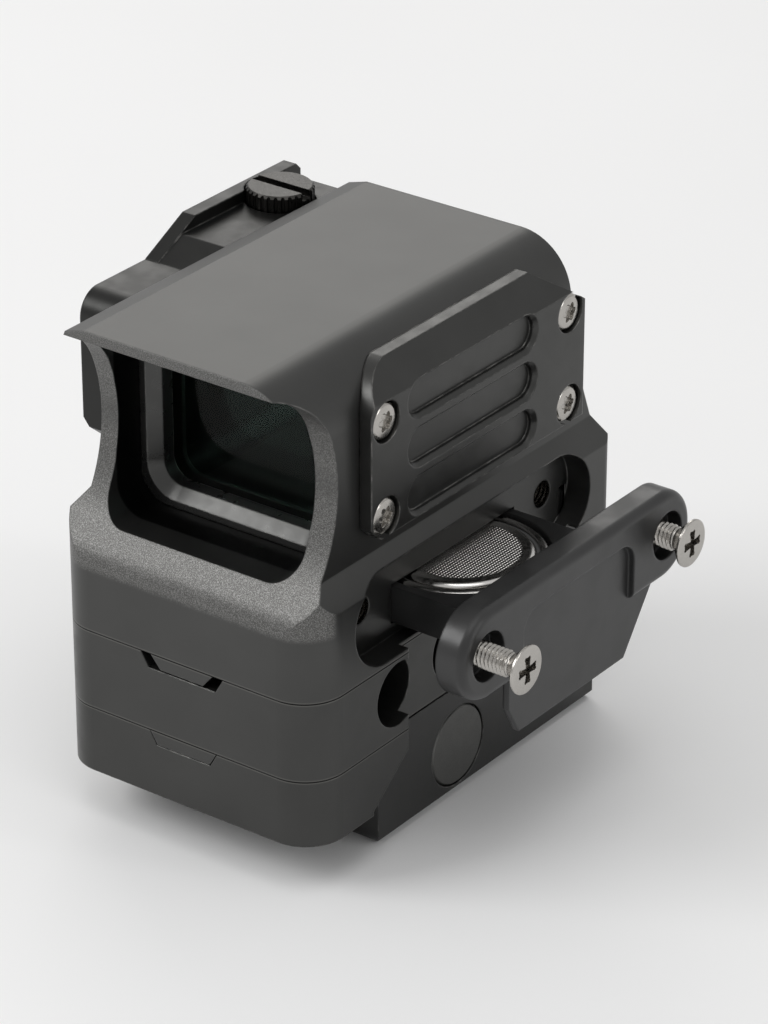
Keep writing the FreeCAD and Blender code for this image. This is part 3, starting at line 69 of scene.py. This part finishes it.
print(f"{len(frame['nodes'])} CAD nodes, box {tuple(round(v / MM, 1) for v in cad_box[1] - cad_box[0])} mm")

# %% [markdown]
# The camera is a long lens a little under half a metre away. A long lens keeps the sight's edges
# nearly parallel, as a product table would. The aim point and two angles say all that is needed, and
# the sensor is fitted to the long side of the upright picture.

# %% Camera
AIM = Vector((7.26, -1.38, 27.12)) * MM
DISTANCE = 481.2 * MM
AZIMUTH = math.radians(36.53)
ELEVATION = math.radians(27.27)
FOCAL_LENGTH = 154.69
SENSOR = 36.0
back = Vector(
    (
        math.sin(AZIMUTH) * math.cos(ELEVATION),
        -math.cos(AZIMUTH) * math.cos(ELEVATION),
        math.sin(ELEVATION),
    )
)
lens = bpy.data.cameras.new("table_camera")
lens.lens = FOCAL_LENGTH
lens.sensor_width = SENSOR
lens.clip_start = 0.05
lens.clip_end = 20.0
camera = bpy.data.objects.new("table_camera", lens)
bpy.context.scene.collection.objects.link(camera)
camera.location = AIM + back * DISTANCE
camera.rotation_mode = "QUATERNION"
camera.rotation_quaternion = (-back).to_track_quat("-Z", "Y")
bpy.context.scene.camera = camera
print("camera at", tuple(round(v, 4) for v in camera.location))

# %% [markdown]
# Dark metal is mostly what it reflects. Soft boxes are therefore placed where each large face looks
# by reflection: one behind and to the left for the roof, and one in front and to the left for the
# hollow front. Their powers are small because the sight is only 60 mm tall.


# %% Soft boxes
def soft_box(name, direction, distance, size, power, tint=(1.0, 1.0, 1.0)):
    """A rectangular area light that faces the aim point."""
    made = bpy.data.lights.new(name, "AREA")
    made.shape = "RECTANGLE"
    made.size, made.size_y = size
    made.energy = power
    made.color = tint
    placed = bpy.data.objects.new(name, made)
    bpy.context.scene.collection.objects.link(placed)
    toward = Vector(direction).normalized()
    placed.location = AIM + toward * distance
    placed.rotation_mode = "QUATERNION"
    placed.rotation_quaternion = (-toward).to_track_quat("-Z", "Y")
    return placed


soft_box("roof_box", (-0.62, 0.62, 0.50), 0.9, (0.50, 0.35), 1.15, (1.0, 0.98, 0.95))
soft_box("front_box", (-0.55, -0.60, 0.62), 0.8, (0.40, 0.35), 2.3)
soft_box("top_box", (0.25, -0.20, 1.0), 0.8, (0.45, 0.45), 0.9)
soft_box("right_box", (0.95, 0.25, 0.30), 0.9, (0.12, 0.50), 0.8)

world = bpy.data.worlds.new("studio")
bpy.context.scene.world = world
world.use_nodes = True
studio_air = world.node_tree.nodes["Background"]
studio_air.inputs["Color"].default_value = (1.0, 1.0, 1.0, 1.0)
studio_air.inputs["Strength"].default_value = 0.60
bpy.context.scene.view_settings.view_transform = "Standard"
print("4 soft boxes")

# %% [markdown]
# The finishes are built from nodes. Small helpers keep each recipe short: they add a node and fill in
# its sockets, mix two colours, carry a number from one range to another, multiply masks, make noise
# and raise a fine pattern. Every pattern is placed in metres on the piece itself, so it stays put
# when a piece moves.


# %% Helpers for finishes
def add(tree, kind, sockets, **settings):
    """Adds a node, then sets or links each named input socket."""
    node = tree.nodes.new(kind)
    for key, value in settings.items():
        setattr(node, key, value)
    for socket, value in sockets.items():
        if isinstance(value, bpy.types.NodeSocket):
            tree.links.new(value, node.inputs[socket])
        else:
            node.inputs[socket].default_value = value
    return node


def mixed(tree, factor, dark, light):
    """A colour between two, by a factor."""
    return add(tree, "ShaderNodeMix", {0: factor, 6: dark, 7: light}, data_type="RGBA").outputs[2]


def ranged(tree, value, low, high, low_result=0.0, high_result=1.0):
    """A number carried smoothly from one range to another, and held at the ends."""
    sockets = {"Value": value, "From Min": low, "From Max": high, "To Min": low_result, "To Max": high_result}
    return add(tree, "ShaderNodeMapRange", sockets, interpolation_type="SMOOTHSTEP").outputs[0]


def product(tree, *factors):
    """Several factors multiplied together."""
    made = factors[0]
    for factor in factors[1:]:
        made = add(tree, "ShaderNodeMath", {0: made, 1: factor}, operation="MULTIPLY").outputs[0]
    return made


made_finishes = {}


def begin(name):
    """Starts a finish, and gives its node tree, its surface shader and the place of each point."""
    finish = bpy.data.materials.new("fine_" + name)
    made_finishes[name] = finish
    finish.use_nodes = True
    tree = finish.node_tree
    shader = tree.nodes["Principled BSDF"]
    place = tree.nodes.new("ShaderNodeTexCoord")
    return tree, shader, place


def noise(tree, place, size, detail=3.0, stretch=(1.0, 1.0, 1.0)):
    """Soft random mottle whose spots are about size metres across."""
    scaled = add(tree, "ShaderNodeMapping", {"Vector": place.outputs["Object"], "Scale": stretch})
    sockets = {"Vector": scaled.outputs[0], "Scale": 1.0 / size, "Detail": detail}
    return add(tree, "ShaderNodeTexNoise", sockets).outputs["Fac"]


def roughen(tree, shader, height, strength, distance, normal):
    """Raises a fine pattern on top of an already softened normal."""
    sockets = {"Height": height, "Strength": strength, "Distance": distance, "Normal": normal}
    tree.links.new(add(tree, "ShaderNodeBump", sockets).outputs[0], shader.inputs["Normal"])


print("helpers ready")

# %% [markdown]
# Anodised aluminium is machined, blasted and dyed. It keeps a metallic sheen with a very fine grain,
# its roughness drifts a little from hand to hand, and its corners are painted bright: partly rubbed
# wear, partly a painted highlight. A Bevel node rounds the edges in the shading only, and the angle
# between the rounded and the true normal finds the corners.


# %% Anodised metal
def edge_wear_and_highlight(tree, place, radius, start, end):
    """How strongly a corner is painted bright, as rubbed wear and painted highlight, and the softened normal
    there.
    """
    softened = add(tree, "ShaderNodeBevel", {"Radius": radius}, samples=6).outputs[0]
    true_normal = add(tree, "ShaderNodeNewGeometry", {}).outputs["True Normal"]
    agreement = add(tree, "ShaderNodeVectorMath", {0: softened, 1: true_normal}, operation="DOT_PRODUCT")
    at_corner = ranged(tree, agreement.outputs["Value"], start, end, 1.0, 0.0)
    patchy = ranged(tree, noise(tree, place, 1.1 * MM, 4.0), 0.38, 0.72)
    return product(tree, at_corner, patchy), softened


def painted_seam_shadow_and_highlight(tree, place, colour, level):
    """Paints a dark shadow line where two stacked pieces meet, and a painted highlight on the broken edge
    beside it.
    """
    spot = add(tree, "ShaderNodeSeparateXYZ", {"Vector": place.outputs["Object"]})
    height = add(tree, "ShaderNodeMath", {0: spot.outputs["Z"], 1: level}, operation="SUBTRACT").outputs[0]
    away = add(tree, "ShaderNodeMath", {0: height}, operation="ABSOLUTE").outputs[0]
    painted_edge_highlight = ranged(tree, away, 0.12 * MM, 0.30 * MM, 0.30, 0.0)
    painted_seam_shadow = ranged(tree, away, 0.05 * MM, 0.11 * MM, 1.0, 0.0)
    with_painted_edge_highlight = mixed(tree, painted_edge_highlight, colour, (0.22, 0.215, 0.20, 1.0))
    return mixed(tree, painted_seam_shadow, with_painted_edge_highlight, (0.004, 0.004, 0.004, 1.0))


def anodised(name, colour, roughness, grain=0.10, wear_and_highlight=0.35, metallic=0.85, seams=()):
    """Satin anodised aluminium: fine grain, drifting sheen, corners painted bright as rubbed wear and painted
    highlight, and painted shade and highlight at seams.
    """
    tree, shader, place = begin(name)
    drift = noise(tree, place, 9.0 * MM, 3.0)
    fine = noise(tree, place, 0.12 * MM, 2.0)
    wear_and_highlight_mask, softened = edge_wear_and_highlight(tree, place, 0.28 * MM, 0.80, 0.97)
    darker = tuple(0.86 * c for c in colour) + (1.0,)
    # Corners are painted towards a pale colour: partly rubbed bare metal, partly a painted highlight.
    lighter = tuple(1.16 * c for c in colour) + (1.0,)
    bare_and_highlight = (0.42, 0.41, 0.39, 1.0)
    dyed = mixed(tree, drift, darker, lighter)
    wear_and_painted_light = mixed(tree, product(tree, wear_and_highlight_mask, wear_and_highlight), dyed, bare_and_highlight)
    # Each seam level gets a painted shadow line and a painted highlight beside it.
    for level in seams:
        wear_and_painted_light = painted_seam_shadow_and_highlight(tree, place, wear_and_painted_light, level)
    tree.links.new(wear_and_painted_light, shader.inputs["Base Color"])
    sheen = ranged(tree, noise(tree, place, 2.2 * MM, 5.0), 0.3, 0.7, roughness - 0.04, roughness + 0.05)
    tree.links.new(sheen, shader.inputs["Roughness"])
    roughen(tree, shader, fine, grain, 0.03 * MM, softened)
    shader.inputs["Metallic"].default_value = metallic
    return tree, shader, place, wear_and_painted_light


UPPER_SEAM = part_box("riser_block")[1].z
LOWER_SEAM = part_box("rail_base")[1].z
for name, colour, roughness, more in (
    ("riser_finish", (0.064, 0.064, 0.062), 0.35, {"seams": (UPPER_SEAM, LOWER_SEAM)}),
    ("base_finish", (0.060, 0.060, 0.058), 0.35, {"seams": (LOWER_SEAM,)}),
    ("jaw_finish", (0.050, 0.050, 0.049), 0.37, {}),
    ("plate_finish", (0.058, 0.058, 0.056), 0.33, {"wear_and_highlight": 0.55}),
    ("adjuster_finish", (0.030, 0.030, 0.029), 0.34, {}),
    ("frame_finish", (0.070, 0.070, 0.068), 0.30, {"wear_and_highlight": 0.6}),
    ("emitter_metal", (0.02, 0.02, 0.02), 0.45, {}),
):
    anodised(name, colour, roughness, **more)
print("anodised finishes ready")

# %% [markdown]
# The housing is one piece of metal with three looks. Its outside is satin like the rest. Its hollow front
# was blasted afresh, so it is rougher, and its forward faces are painted much paler as painted light, with
# painted glints. The window tunnel is painted near black as painted shade. The place and facing of each
# point choose between them, because no seam divides the metal.

# %% Housing finish
HOLLOW_DEPTH = 6.8 * MM
LIP_HEIGHT = 24.6 * MM
housing_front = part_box("main_housing")[0].y
front_frame_low, front_frame_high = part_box("front_window_frame")
# The satin outside carries the painted edge highlights and the painted seam shade of the anodised recipe.
tree, shader, place, satin_with_painted_light = anodised(
    "housing_finish", (0.068, 0.068, 0.066), 0.35, seams=(UPPER_SEAM,)
)
spot = add(tree, "ShaderNodeSeparateXYZ", {"Vector": place.outputs["Object"]})
facing = add(tree, "ShaderNodeSeparateXYZ", {"Vector": place.outputs["Normal"]})
hollow_back = housing_front + HOLLOW_DEPTH
in_front = ranged(tree, spot.outputs["Y"], hollow_back, hollow_back + 0.4 * MM, 1.0, 0.0)
faces_forward = ranged(tree, facing.outputs["Y"], -0.30, -0.14, 1.0, 0.0)
above_lip = ranged(tree, spot.outputs["Z"], LIP_HEIGHT, LIP_HEIGHT + 1.0 * MM)
# Forward faces of the hollow are painted pale as painted light, with painted glints; the rougher blasted
# finish is real.
blasted_and_lit = product(tree, in_front, faces_forward, above_lip)
painted_sparkle = ranged(tree, noise(tree, place, 0.11 * MM, 2.0), 0.38, 0.72)
blasted_and_lit_colour = mixed(tree, painted_sparkle, (0.085, 0.084, 0.081, 1.0), (0.23, 0.228, 0.222, 1.0))
across = add(tree, "ShaderNodeMath", {0: spot.outputs["X"]}, operation="ABSOLUTE").outputs[0]
# The tunnel inside is painted near black: painted shade within the recess.
tunnel_painted_shade = product(
    tree,
    ranged(tree, across, front_frame_high.x + 0.1 * MM, front_frame_high.x + 0.2 * MM, 1.0, 0.0),
    ranged(tree, spot.outputs["Y"], hollow_back - 0.6 * MM, hollow_back - 0.2 * MM),
    ranged(tree, spot.outputs["Z"], front_frame_low.z - 0.2 * MM, front_frame_low.z - 0.1 * MM),
    ranged(tree, spot.outputs["Z"], front_frame_high.z + 0.1 * MM, front_frame_high.z + 0.2 * MM, 1.0, 0.0),
)
outside = mixed(tree, blasted_and_lit, satin_with_painted_light, blasted_and_lit_colour)
tree.links.new(mixed(tree, tunnel_painted_shade, outside, (0.006, 0.006, 0.006, 1.0)), shader.inputs["Base Color"])
tree.links.new(
    add(tree, "ShaderNodeMix", {0: blasted_and_lit, 2: 0.37, 3: 0.47}, data_type="FLOAT").outputs[0],
    shader.inputs["Roughness"],
)
print("housing finish ready")

# %% [markdown]
# Steel, nickel and brass differ in colour and in polish. Turned steel shows fine circular tool marks,
# but on pieces this small a short soft scratch pattern reads the same, so one recipe serves them all.


# %% Plated and bare metal
def plated(name, colour, roughness, scratch=0.06, size=0.25 * MM):
    """Bright or blackened metal with small scratches and cloudy polish."""
    tree, shader, place = begin(name)
    cloud = noise(tree, place, 1.4 * MM, 4.0)
    fine = noise(tree, place, size, 3.0, (1.0, 6.0, 1.0))
    low = tuple(0.8 * c for c in colour) + (1.0,)
    tree.links.new(mixed(tree, cloud, low, tuple(colour) + (1.0,)), shader.inputs["Base Color"])
    polish = ranged(tree, fine, 0.3, 0.75, roughness * 0.8, roughness * 1.35)
    tree.links.new(polish, shader.inputs["Roughness"])
    softened = add(tree, "ShaderNodeBevel", {"Radius": 0.08 * MM}, samples=4).outputs[0]
    roughen(tree, shader, fine, scratch, 0.02 * MM, softened)
    shader.inputs["Metallic"].default_value = 1.0


for name, colour, roughness in (
    ("bolt_steel", (0.13, 0.13, 0.125), 0.42),
    ("nut_finish", (0.05, 0.05, 0.05), 0.38),
    ("cap_screw_steel", (0.05, 0.05, 0.05), 0.35),
    ("black_screw_steel", (0.040, 0.040, 0.040), 0.32),
    ("bright_screw_steel", (0.50, 0.48, 0.45), 0.22),
    ("knob_finish", (0.055, 0.053, 0.050), 0.33),
    ("brass_works", (0.62, 0.43, 0.16), 0.28),
    ("contact_gold", (0.75, 0.55, 0.22), 0.22),
):
    plated(name, colour, roughness)
print("plated finishes ready")

# %% [markdown]
# The coin cell's cap is rolled with a fine grid of dimples that stops short of the smooth shoulder.
# Two crossed waves make the grid, and the distance from the cell's centre limits it.

# %% Coin cell nickel
cap_low, cap_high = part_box("coin_cell_cap")
cell_centre = (cap_low + cap_high) / 2
DIMPLE_PITCH = 0.55 * MM
WAVES_PER_METRE = 2 * math.pi / DIMPLE_PITCH / math.sqrt(2)
tree, shader, place = begin("cell_nickel")
spot = add(tree, "ShaderNodeVectorMath", {0: place.outputs["Object"], 1: cell_centre}, operation="SUBTRACT")
parts = add(tree, "ShaderNodeSeparateXYZ", {"Vector": spot.outputs[0]})
waves = []
for sign in (1.0, -1.0):
    sockets = {0: parts.outputs["Y"], 1: sign, 2: parts.outputs["X"]}
    slanted = add(tree, "ShaderNodeMath", sockets, operation="MULTIPLY_ADD").outputs[0]
    phase = product(tree, slanted, WAVES_PER_METRE)
    waves.append(add(tree, "ShaderNodeMath", {0: phase}, operation="SINE").outputs[0])
flat_place = add(tree, "ShaderNodeCombineXYZ", {"X": parts.outputs["X"], "Y": parts.outputs["Y"]})
radius = add(tree, "ShaderNodeVectorMath", {0: flat_place.outputs[0]}, operation="LENGTH").outputs["Value"]
inside = ranged(tree, radius, 6.6 * MM, 6.9 * MM, 1.0, 0.0)
dimples = product(tree, waves[0], waves[1], inside)
dimple_bump = add(tree, "ShaderNodeBump", {"Height": dimples, "Strength": 1.0, "Distance": 0.07 * MM})
tree.links.new(dimple_bump.outputs[0], shader.inputs["Normal"])
tarnish = mixed(tree, noise(tree, place, 3.0 * MM, 4.0), (0.60, 0.585, 0.56, 1.0), (0.78, 0.765, 0.74, 1.0))
tree.links.new(tarnish, shader.inputs["Base Color"])
rolled = ranged(tree, noise(tree, place, 0.5 * MM, 3.0), 0.3, 0.7, 0.17, 0.27)
tree.links.new(rolled, shader.inputs["Roughness"])
shader.inputs["Metallic"].default_value = 1.0
print("dimples every", round(DIMPLE_PITCH / MM, 2), "mm")

# %% [markdown]
# Moulded plastic and rubber are not metallic. Plastic keeps a faint sheen with the mould's fine
# texture, and rubber is rougher and swallows light.


# %% Plastic and rubber
def moulded(name, colour, roughness, texture=0.12, size=0.22 * MM):
    """Moulded plastic or rubber: a dull base, mould texture and slight handling marks."""
    tree, shader, place = begin(name)
    handled = noise(tree, place, 4.0 * MM, 5.0)
    fine = noise(tree, place, size, 2.0)
    low = tuple(0.75 * c for c in colour) + (1.0,)
    high = tuple(1.3 * c for c in colour) + (1.0,)
    tree.links.new(mixed(tree, handled, low, high), shader.inputs["Base Color"])
    sheen = ranged(tree, handled, 0.3, 0.7, roughness - 0.06, roughness + 0.08)
    tree.links.new(sheen, shader.inputs["Roughness"])
    softened = add(tree, "ShaderNodeBevel", {"Radius": 0.35 * MM}, samples=6).outputs[0]
    roughen(tree, shader, fine, texture, 0.03 * MM, softened)


for name, colour, roughness in (
    ("drawer_plastic", (0.020, 0.020, 0.020), 0.34),
    ("cover_plastic", (0.022, 0.022, 0.022), 0.45),
    ("cell_ring_plastic", (0.10, 0.10, 0.10), 0.5),
    ("board_parts_black", (0.02, 0.02, 0.02), 0.4),
    ("board_laminate", (0.015, 0.10, 0.04), 0.35),
    ("button_rubber", (0.02, 0.02, 0.02), 0.6),
    ("seal_rubber", (0.010, 0.010, 0.010), 0.62),
    ("emitter_glow", (0.35, 0.02, 0.02), 0.25),
):
    moulded(name, colour, roughness)
print("plastic and rubber ready")

# %% [markdown]
# Both windows are flat glass. The front one carries a thin reflective coating with a green cast, and
# faint wipe marks blur it slightly. A coating that kills most of the glare is the same as glass of a
# very low index, and only the wipe marks vary, so the index is a plain value.


# %% Glass
COATED_INDEX = 1.16


def window_glass(name, tint, haze):
    """Clear glass with a colour cast and faint wipe marks."""
    tree, shader, place = begin(name)
    wiped = ranged(tree, noise(tree, place, 5.0 * MM, 4.0, (1.0, 1.0, 3.0)), 0.45, 0.75, 0.0, haze)
    tree.links.new(wiped, shader.inputs["Roughness"])
    shader.inputs["Base Color"].default_value = tint
    shader.inputs["Transmission Weight"].default_value = 1.0
    shader.inputs["IOR"].default_value = COATED_INDEX


window_glass("coated_glass", (0.62, 0.90, 0.78, 1.0), 0.05)
window_glass("clear_glass", (0.90, 0.97, 0.95, 1.0), 0.03)
print("glass ready")

# %% [markdown]
# Each CAD node names its finish in the record, so the finishes are handed out from there. The
# imported node keeps its shape, and only its material slot changes.

# %% Hand out the finishes
for entry in frame["record"]["subparts"]:
    node = frame["nodes"][entry["node"]]
    finish = made_finishes[entry["material_slot"]]
    if not node.material_slots:
        node.data.materials.append(finish)
    for slot in node.material_slots:
        slot.material = finish

# %% [markdown]
# The screws are where small detail shows most: real threads, and driver recesses in their heads. The
# CAD screws are plain at the thread's outside size. A lathed grid replaces them: it is a stack of
# rings, a ring's radius follows the thread's helix, and the rings of the head dip into the recess.

# %% Lathe for screws
AROUND = 96
TURNS = [2 * math.pi * i / AROUND for i in range(AROUND)]


def lathe(name, rings, finish):
    """A closed turned piece along X from rings of (along, radius), one pair for each turn angle."""
    shape = bmesh.new()
    loops = [
        [shape.verts.new((a, r * math.cos(t), r * math.sin(t))) for t, (a, r) in zip(TURNS, ring)]
        for ring in rings
    ]
    for lower, upper in zip(loops, loops[1:]):
        for i in range(AROUND):
            j = (i + 1) % AROUND
            shape.faces.new((lower[i], lower[j], upper[j], upper[i]))
    shape.faces.new(loops[0])
    shape.faces.new(loops[-1])
    bmesh.ops.recalc_face_normals(shape, faces=shape.faces)
    mesh = bpy.data.meshes.new(name)
    shape.to_mesh(mesh)
    shape.free()
    mesh.materials.append(finish)
    for face in mesh.polygons:
        face.use_smooth = True
    mesh.set_sharp_from_angle(angle=math.radians(32))
    made = bpy.data.objects.new(name, mesh)
    bpy.context.scene.collection.objects.link(made)
    return made


def plain(along, radius):
    """One round ring."""
    return [(along, radius)] * AROUND


def threaded(start, end, outside, depth, pitch):
    """Rings of a helical thread from start to end, tapered in at both ends."""
    rings = []
    count = round((end - start) / (pitch / 8))
    for step in range(count + 1):
        along = start + (end - start) * step / count
        fade = min(1.0, (along - start) / pitch, (end - along) / pitch)
        ring = []
        for turn in TURNS:
            wave = (along / pitch - turn / (2 * math.pi)) % 1.0
            ring.append((along, outside - depth * fade * abs(2 * wave - 1) - depth * (1 - fade)))
        rings.append(ring)
    return rings


def cross_recess(y, z):
    """1 inside a cross-shaped driver recess, and 0 outside."""
    arm, narrow = 1.5 * MM, 0.30 * MM
    flare = narrow + 0.12 * max(abs(y), abs(z))
    return 1.0 if max(abs(y), abs(z)) < arm and min(abs(y), abs(z)) < flare else 0.0


def star_recess(y, z):
    """1 inside a six-lobed driver recess, and 0 outside."""
    reach = (0.98 + 0.17 * math.cos(6 * math.atan2(z, y))) * MM
    return 1.0 if math.hypot(y, z) < reach else 0.0


def head_face(along, radius, crown, recess, depth, steps=26):
    """Rings across a screw's head, from its rim to its middle, dipping into the recess."""
    rings = []
    for step in range(steps):
        r = radius * (1 - step / steps)
        level = along + crown * (1 - (r / radius) ** 2)
        taper = 1.0 - 0.25 * r / radius
        ring = []
        for turn in TURNS:
            dip = recess(r * math.cos(turn), r * math.sin(turn))
            ring.append((level - depth * taper * dip, r))
        rings.append(ring)
    return rings


print("lathe ready,", AROUND, "points around")

# %% [markdown]
# The two drawer screws are M3 countersunk screws, 10 mm long, bright nickel over steel, with a cross
# recess. Each sits where its CAD node is and moves with the same body.

# %% Drawer screws
for node in ("front_drawer_screw", "rear_drawer_screw"):
    low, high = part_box(node)
    length = high.x - low.x
    head = (high.z - low.z) / 2
    cone_end = length - 0.4 * MM
    rings = [plain(0.0, 0.9 * MM), plain(0.25 * MM, 1.2 * MM)]
    rings += threaded(0.3 * MM, cone_end - 1.5 * MM, 1.5 * MM, 0.27 * MM, 0.5 * MM)
    rings += [plain(cone_end - 1.4 * MM, 1.25 * MM), plain(cone_end - 1.2 * MM, 1.4 * MM)]
    rings += [plain(cone_end, head), plain(length - 0.2 * MM, head)]
    rings += head_face(length - 0.12 * MM, head - 0.12 * MM, 0.10 * MM, cross_recess, 1.1 * MM)
    screw = lathe(node + "_thread", rings, made_finishes["bright_screw_steel"])
    screw.location = (low.x, (low.y + high.y) / 2, (low.z + high.z) / 2)
    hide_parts(node)
    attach(screw, node)
    print(node, round(length / MM, 2), "mm long")

# %% [markdown]
# The side plate and the adjuster housing are each held by four low-head screws with star recesses.
# Their four places come from the corners of the CAD node's box, and each screw is its own mesh.


# %% Star screws
def star_screws(node, slot, outward, sink):
    """Replaces a node of four star-recess screws, whose heads face outward along X."""
    low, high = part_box(node)
    head = 2.1 * MM
    span = high.x - low.x
    placed = []
    for y in (low.y + head, high.y - head):
        for z in (low.z + head, high.z - head):
            rings = [plain(0.0, 0.95 * MM)]
            rings += threaded(0.1 * MM, span - 1.15 * MM, 1.25 * MM, 0.2 * MM, 0.45 * MM)
            rings += [plain(span - 1.1 * MM, 1.2 * MM), plain(span - 1.1 * MM, head)]
            rings += [plain(span - 0.45 * MM, head)]
            rings += head_face(span - 0.2 * MM, head - 0.3 * MM, 0.20 * MM, star_recess, sink)
            screw = lathe(f"{node}_{len(placed)}", rings, made_finishes[slot])
            start = low.x if outward > 0 else high.x
            screw.matrix_world = Matrix.Translation((start, y, z)) @ Matrix.Rotation(
                0.0 if outward > 0 else math.pi, 4, "Z"
            )
            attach(screw, "sight")
            placed.append(screw)
    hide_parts(node)
    print(node, "became", len(placed), "screws")


star_screws("side_plate_screws", "bright_screw_steel", 1.0, 0.55 * MM)
star_screws("adjuster_housing_screws", "black_screw_steel", -1.0, 0.55 * MM)

# %% [markdown]
# The two empty holes beside the drawer catch the light on their threads. A thin threaded sleeve lines
# each hole, with the clearance that its screw needs.

# %% Threaded holes
HOLE_START = 11.0 * MM
HOLE_DEPTH = 3.6 * MM
for label, node in (("front_hole_thread", "front_drawer_screw"), ("rear_hole_thread", "rear_drawer_screw")):
    low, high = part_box(node)
    rings = threaded(0.0, HOLE_DEPTH, 1.59 * MM, 0.06 * MM, 0.5 * MM)
    shape = lathe(label, rings, made_finishes["bright_screw_steel"])
    faces = bmesh.new()
    faces.from_mesh(shape.data)
    faces.faces.ensure_lookup_table()
    bmesh.ops.delete(faces, geom=[f for f in faces.faces if len(f.verts) > 4], context="FACES_ONLY")
    bmesh.ops.reverse_faces(faces, faces=faces.faces)
    faces.to_mesh(shape.data)
    faces.free()
    shape.location = (HOLE_START, (low.y + high.y) / 2, (low.z + high.z) / 2)
    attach(shape, "sight")
print("2 threaded holes")

# %% [markdown]
# A plain pale floor reads as a studio sweep. It is only just off white, with a faint mottle so that
# it isn't perfectly flat.

# %% Floor
floor_mesh = bpy.data.meshes.new("floor")
floor_shape = bmesh.new()
bmesh.ops.create_grid(floor_shape, x_segments=8, y_segments=8, size=3.0)
floor_shape.to_mesh(floor_mesh)
floor_shape.free()
floor = bpy.data.objects.new("floor", floor_mesh)
bpy.context.scene.collection.objects.link(floor)
floor.location.z = cad_box[0].z
tree, shader, place = begin("floor_paper")
paper = mixed(tree, noise(tree, place, 0.08, 2.0), (0.86, 0.86, 0.86, 1.0), (0.90, 0.90, 0.90, 1.0))
tree.links.new(paper, shader.inputs["Base Color"])
shader.inputs["Roughness"].default_value = 0.9
floor_mesh.materials.append(made_finishes["floor_paper"])
print("floor at", round(floor.location.z / MM, 2), "mm")
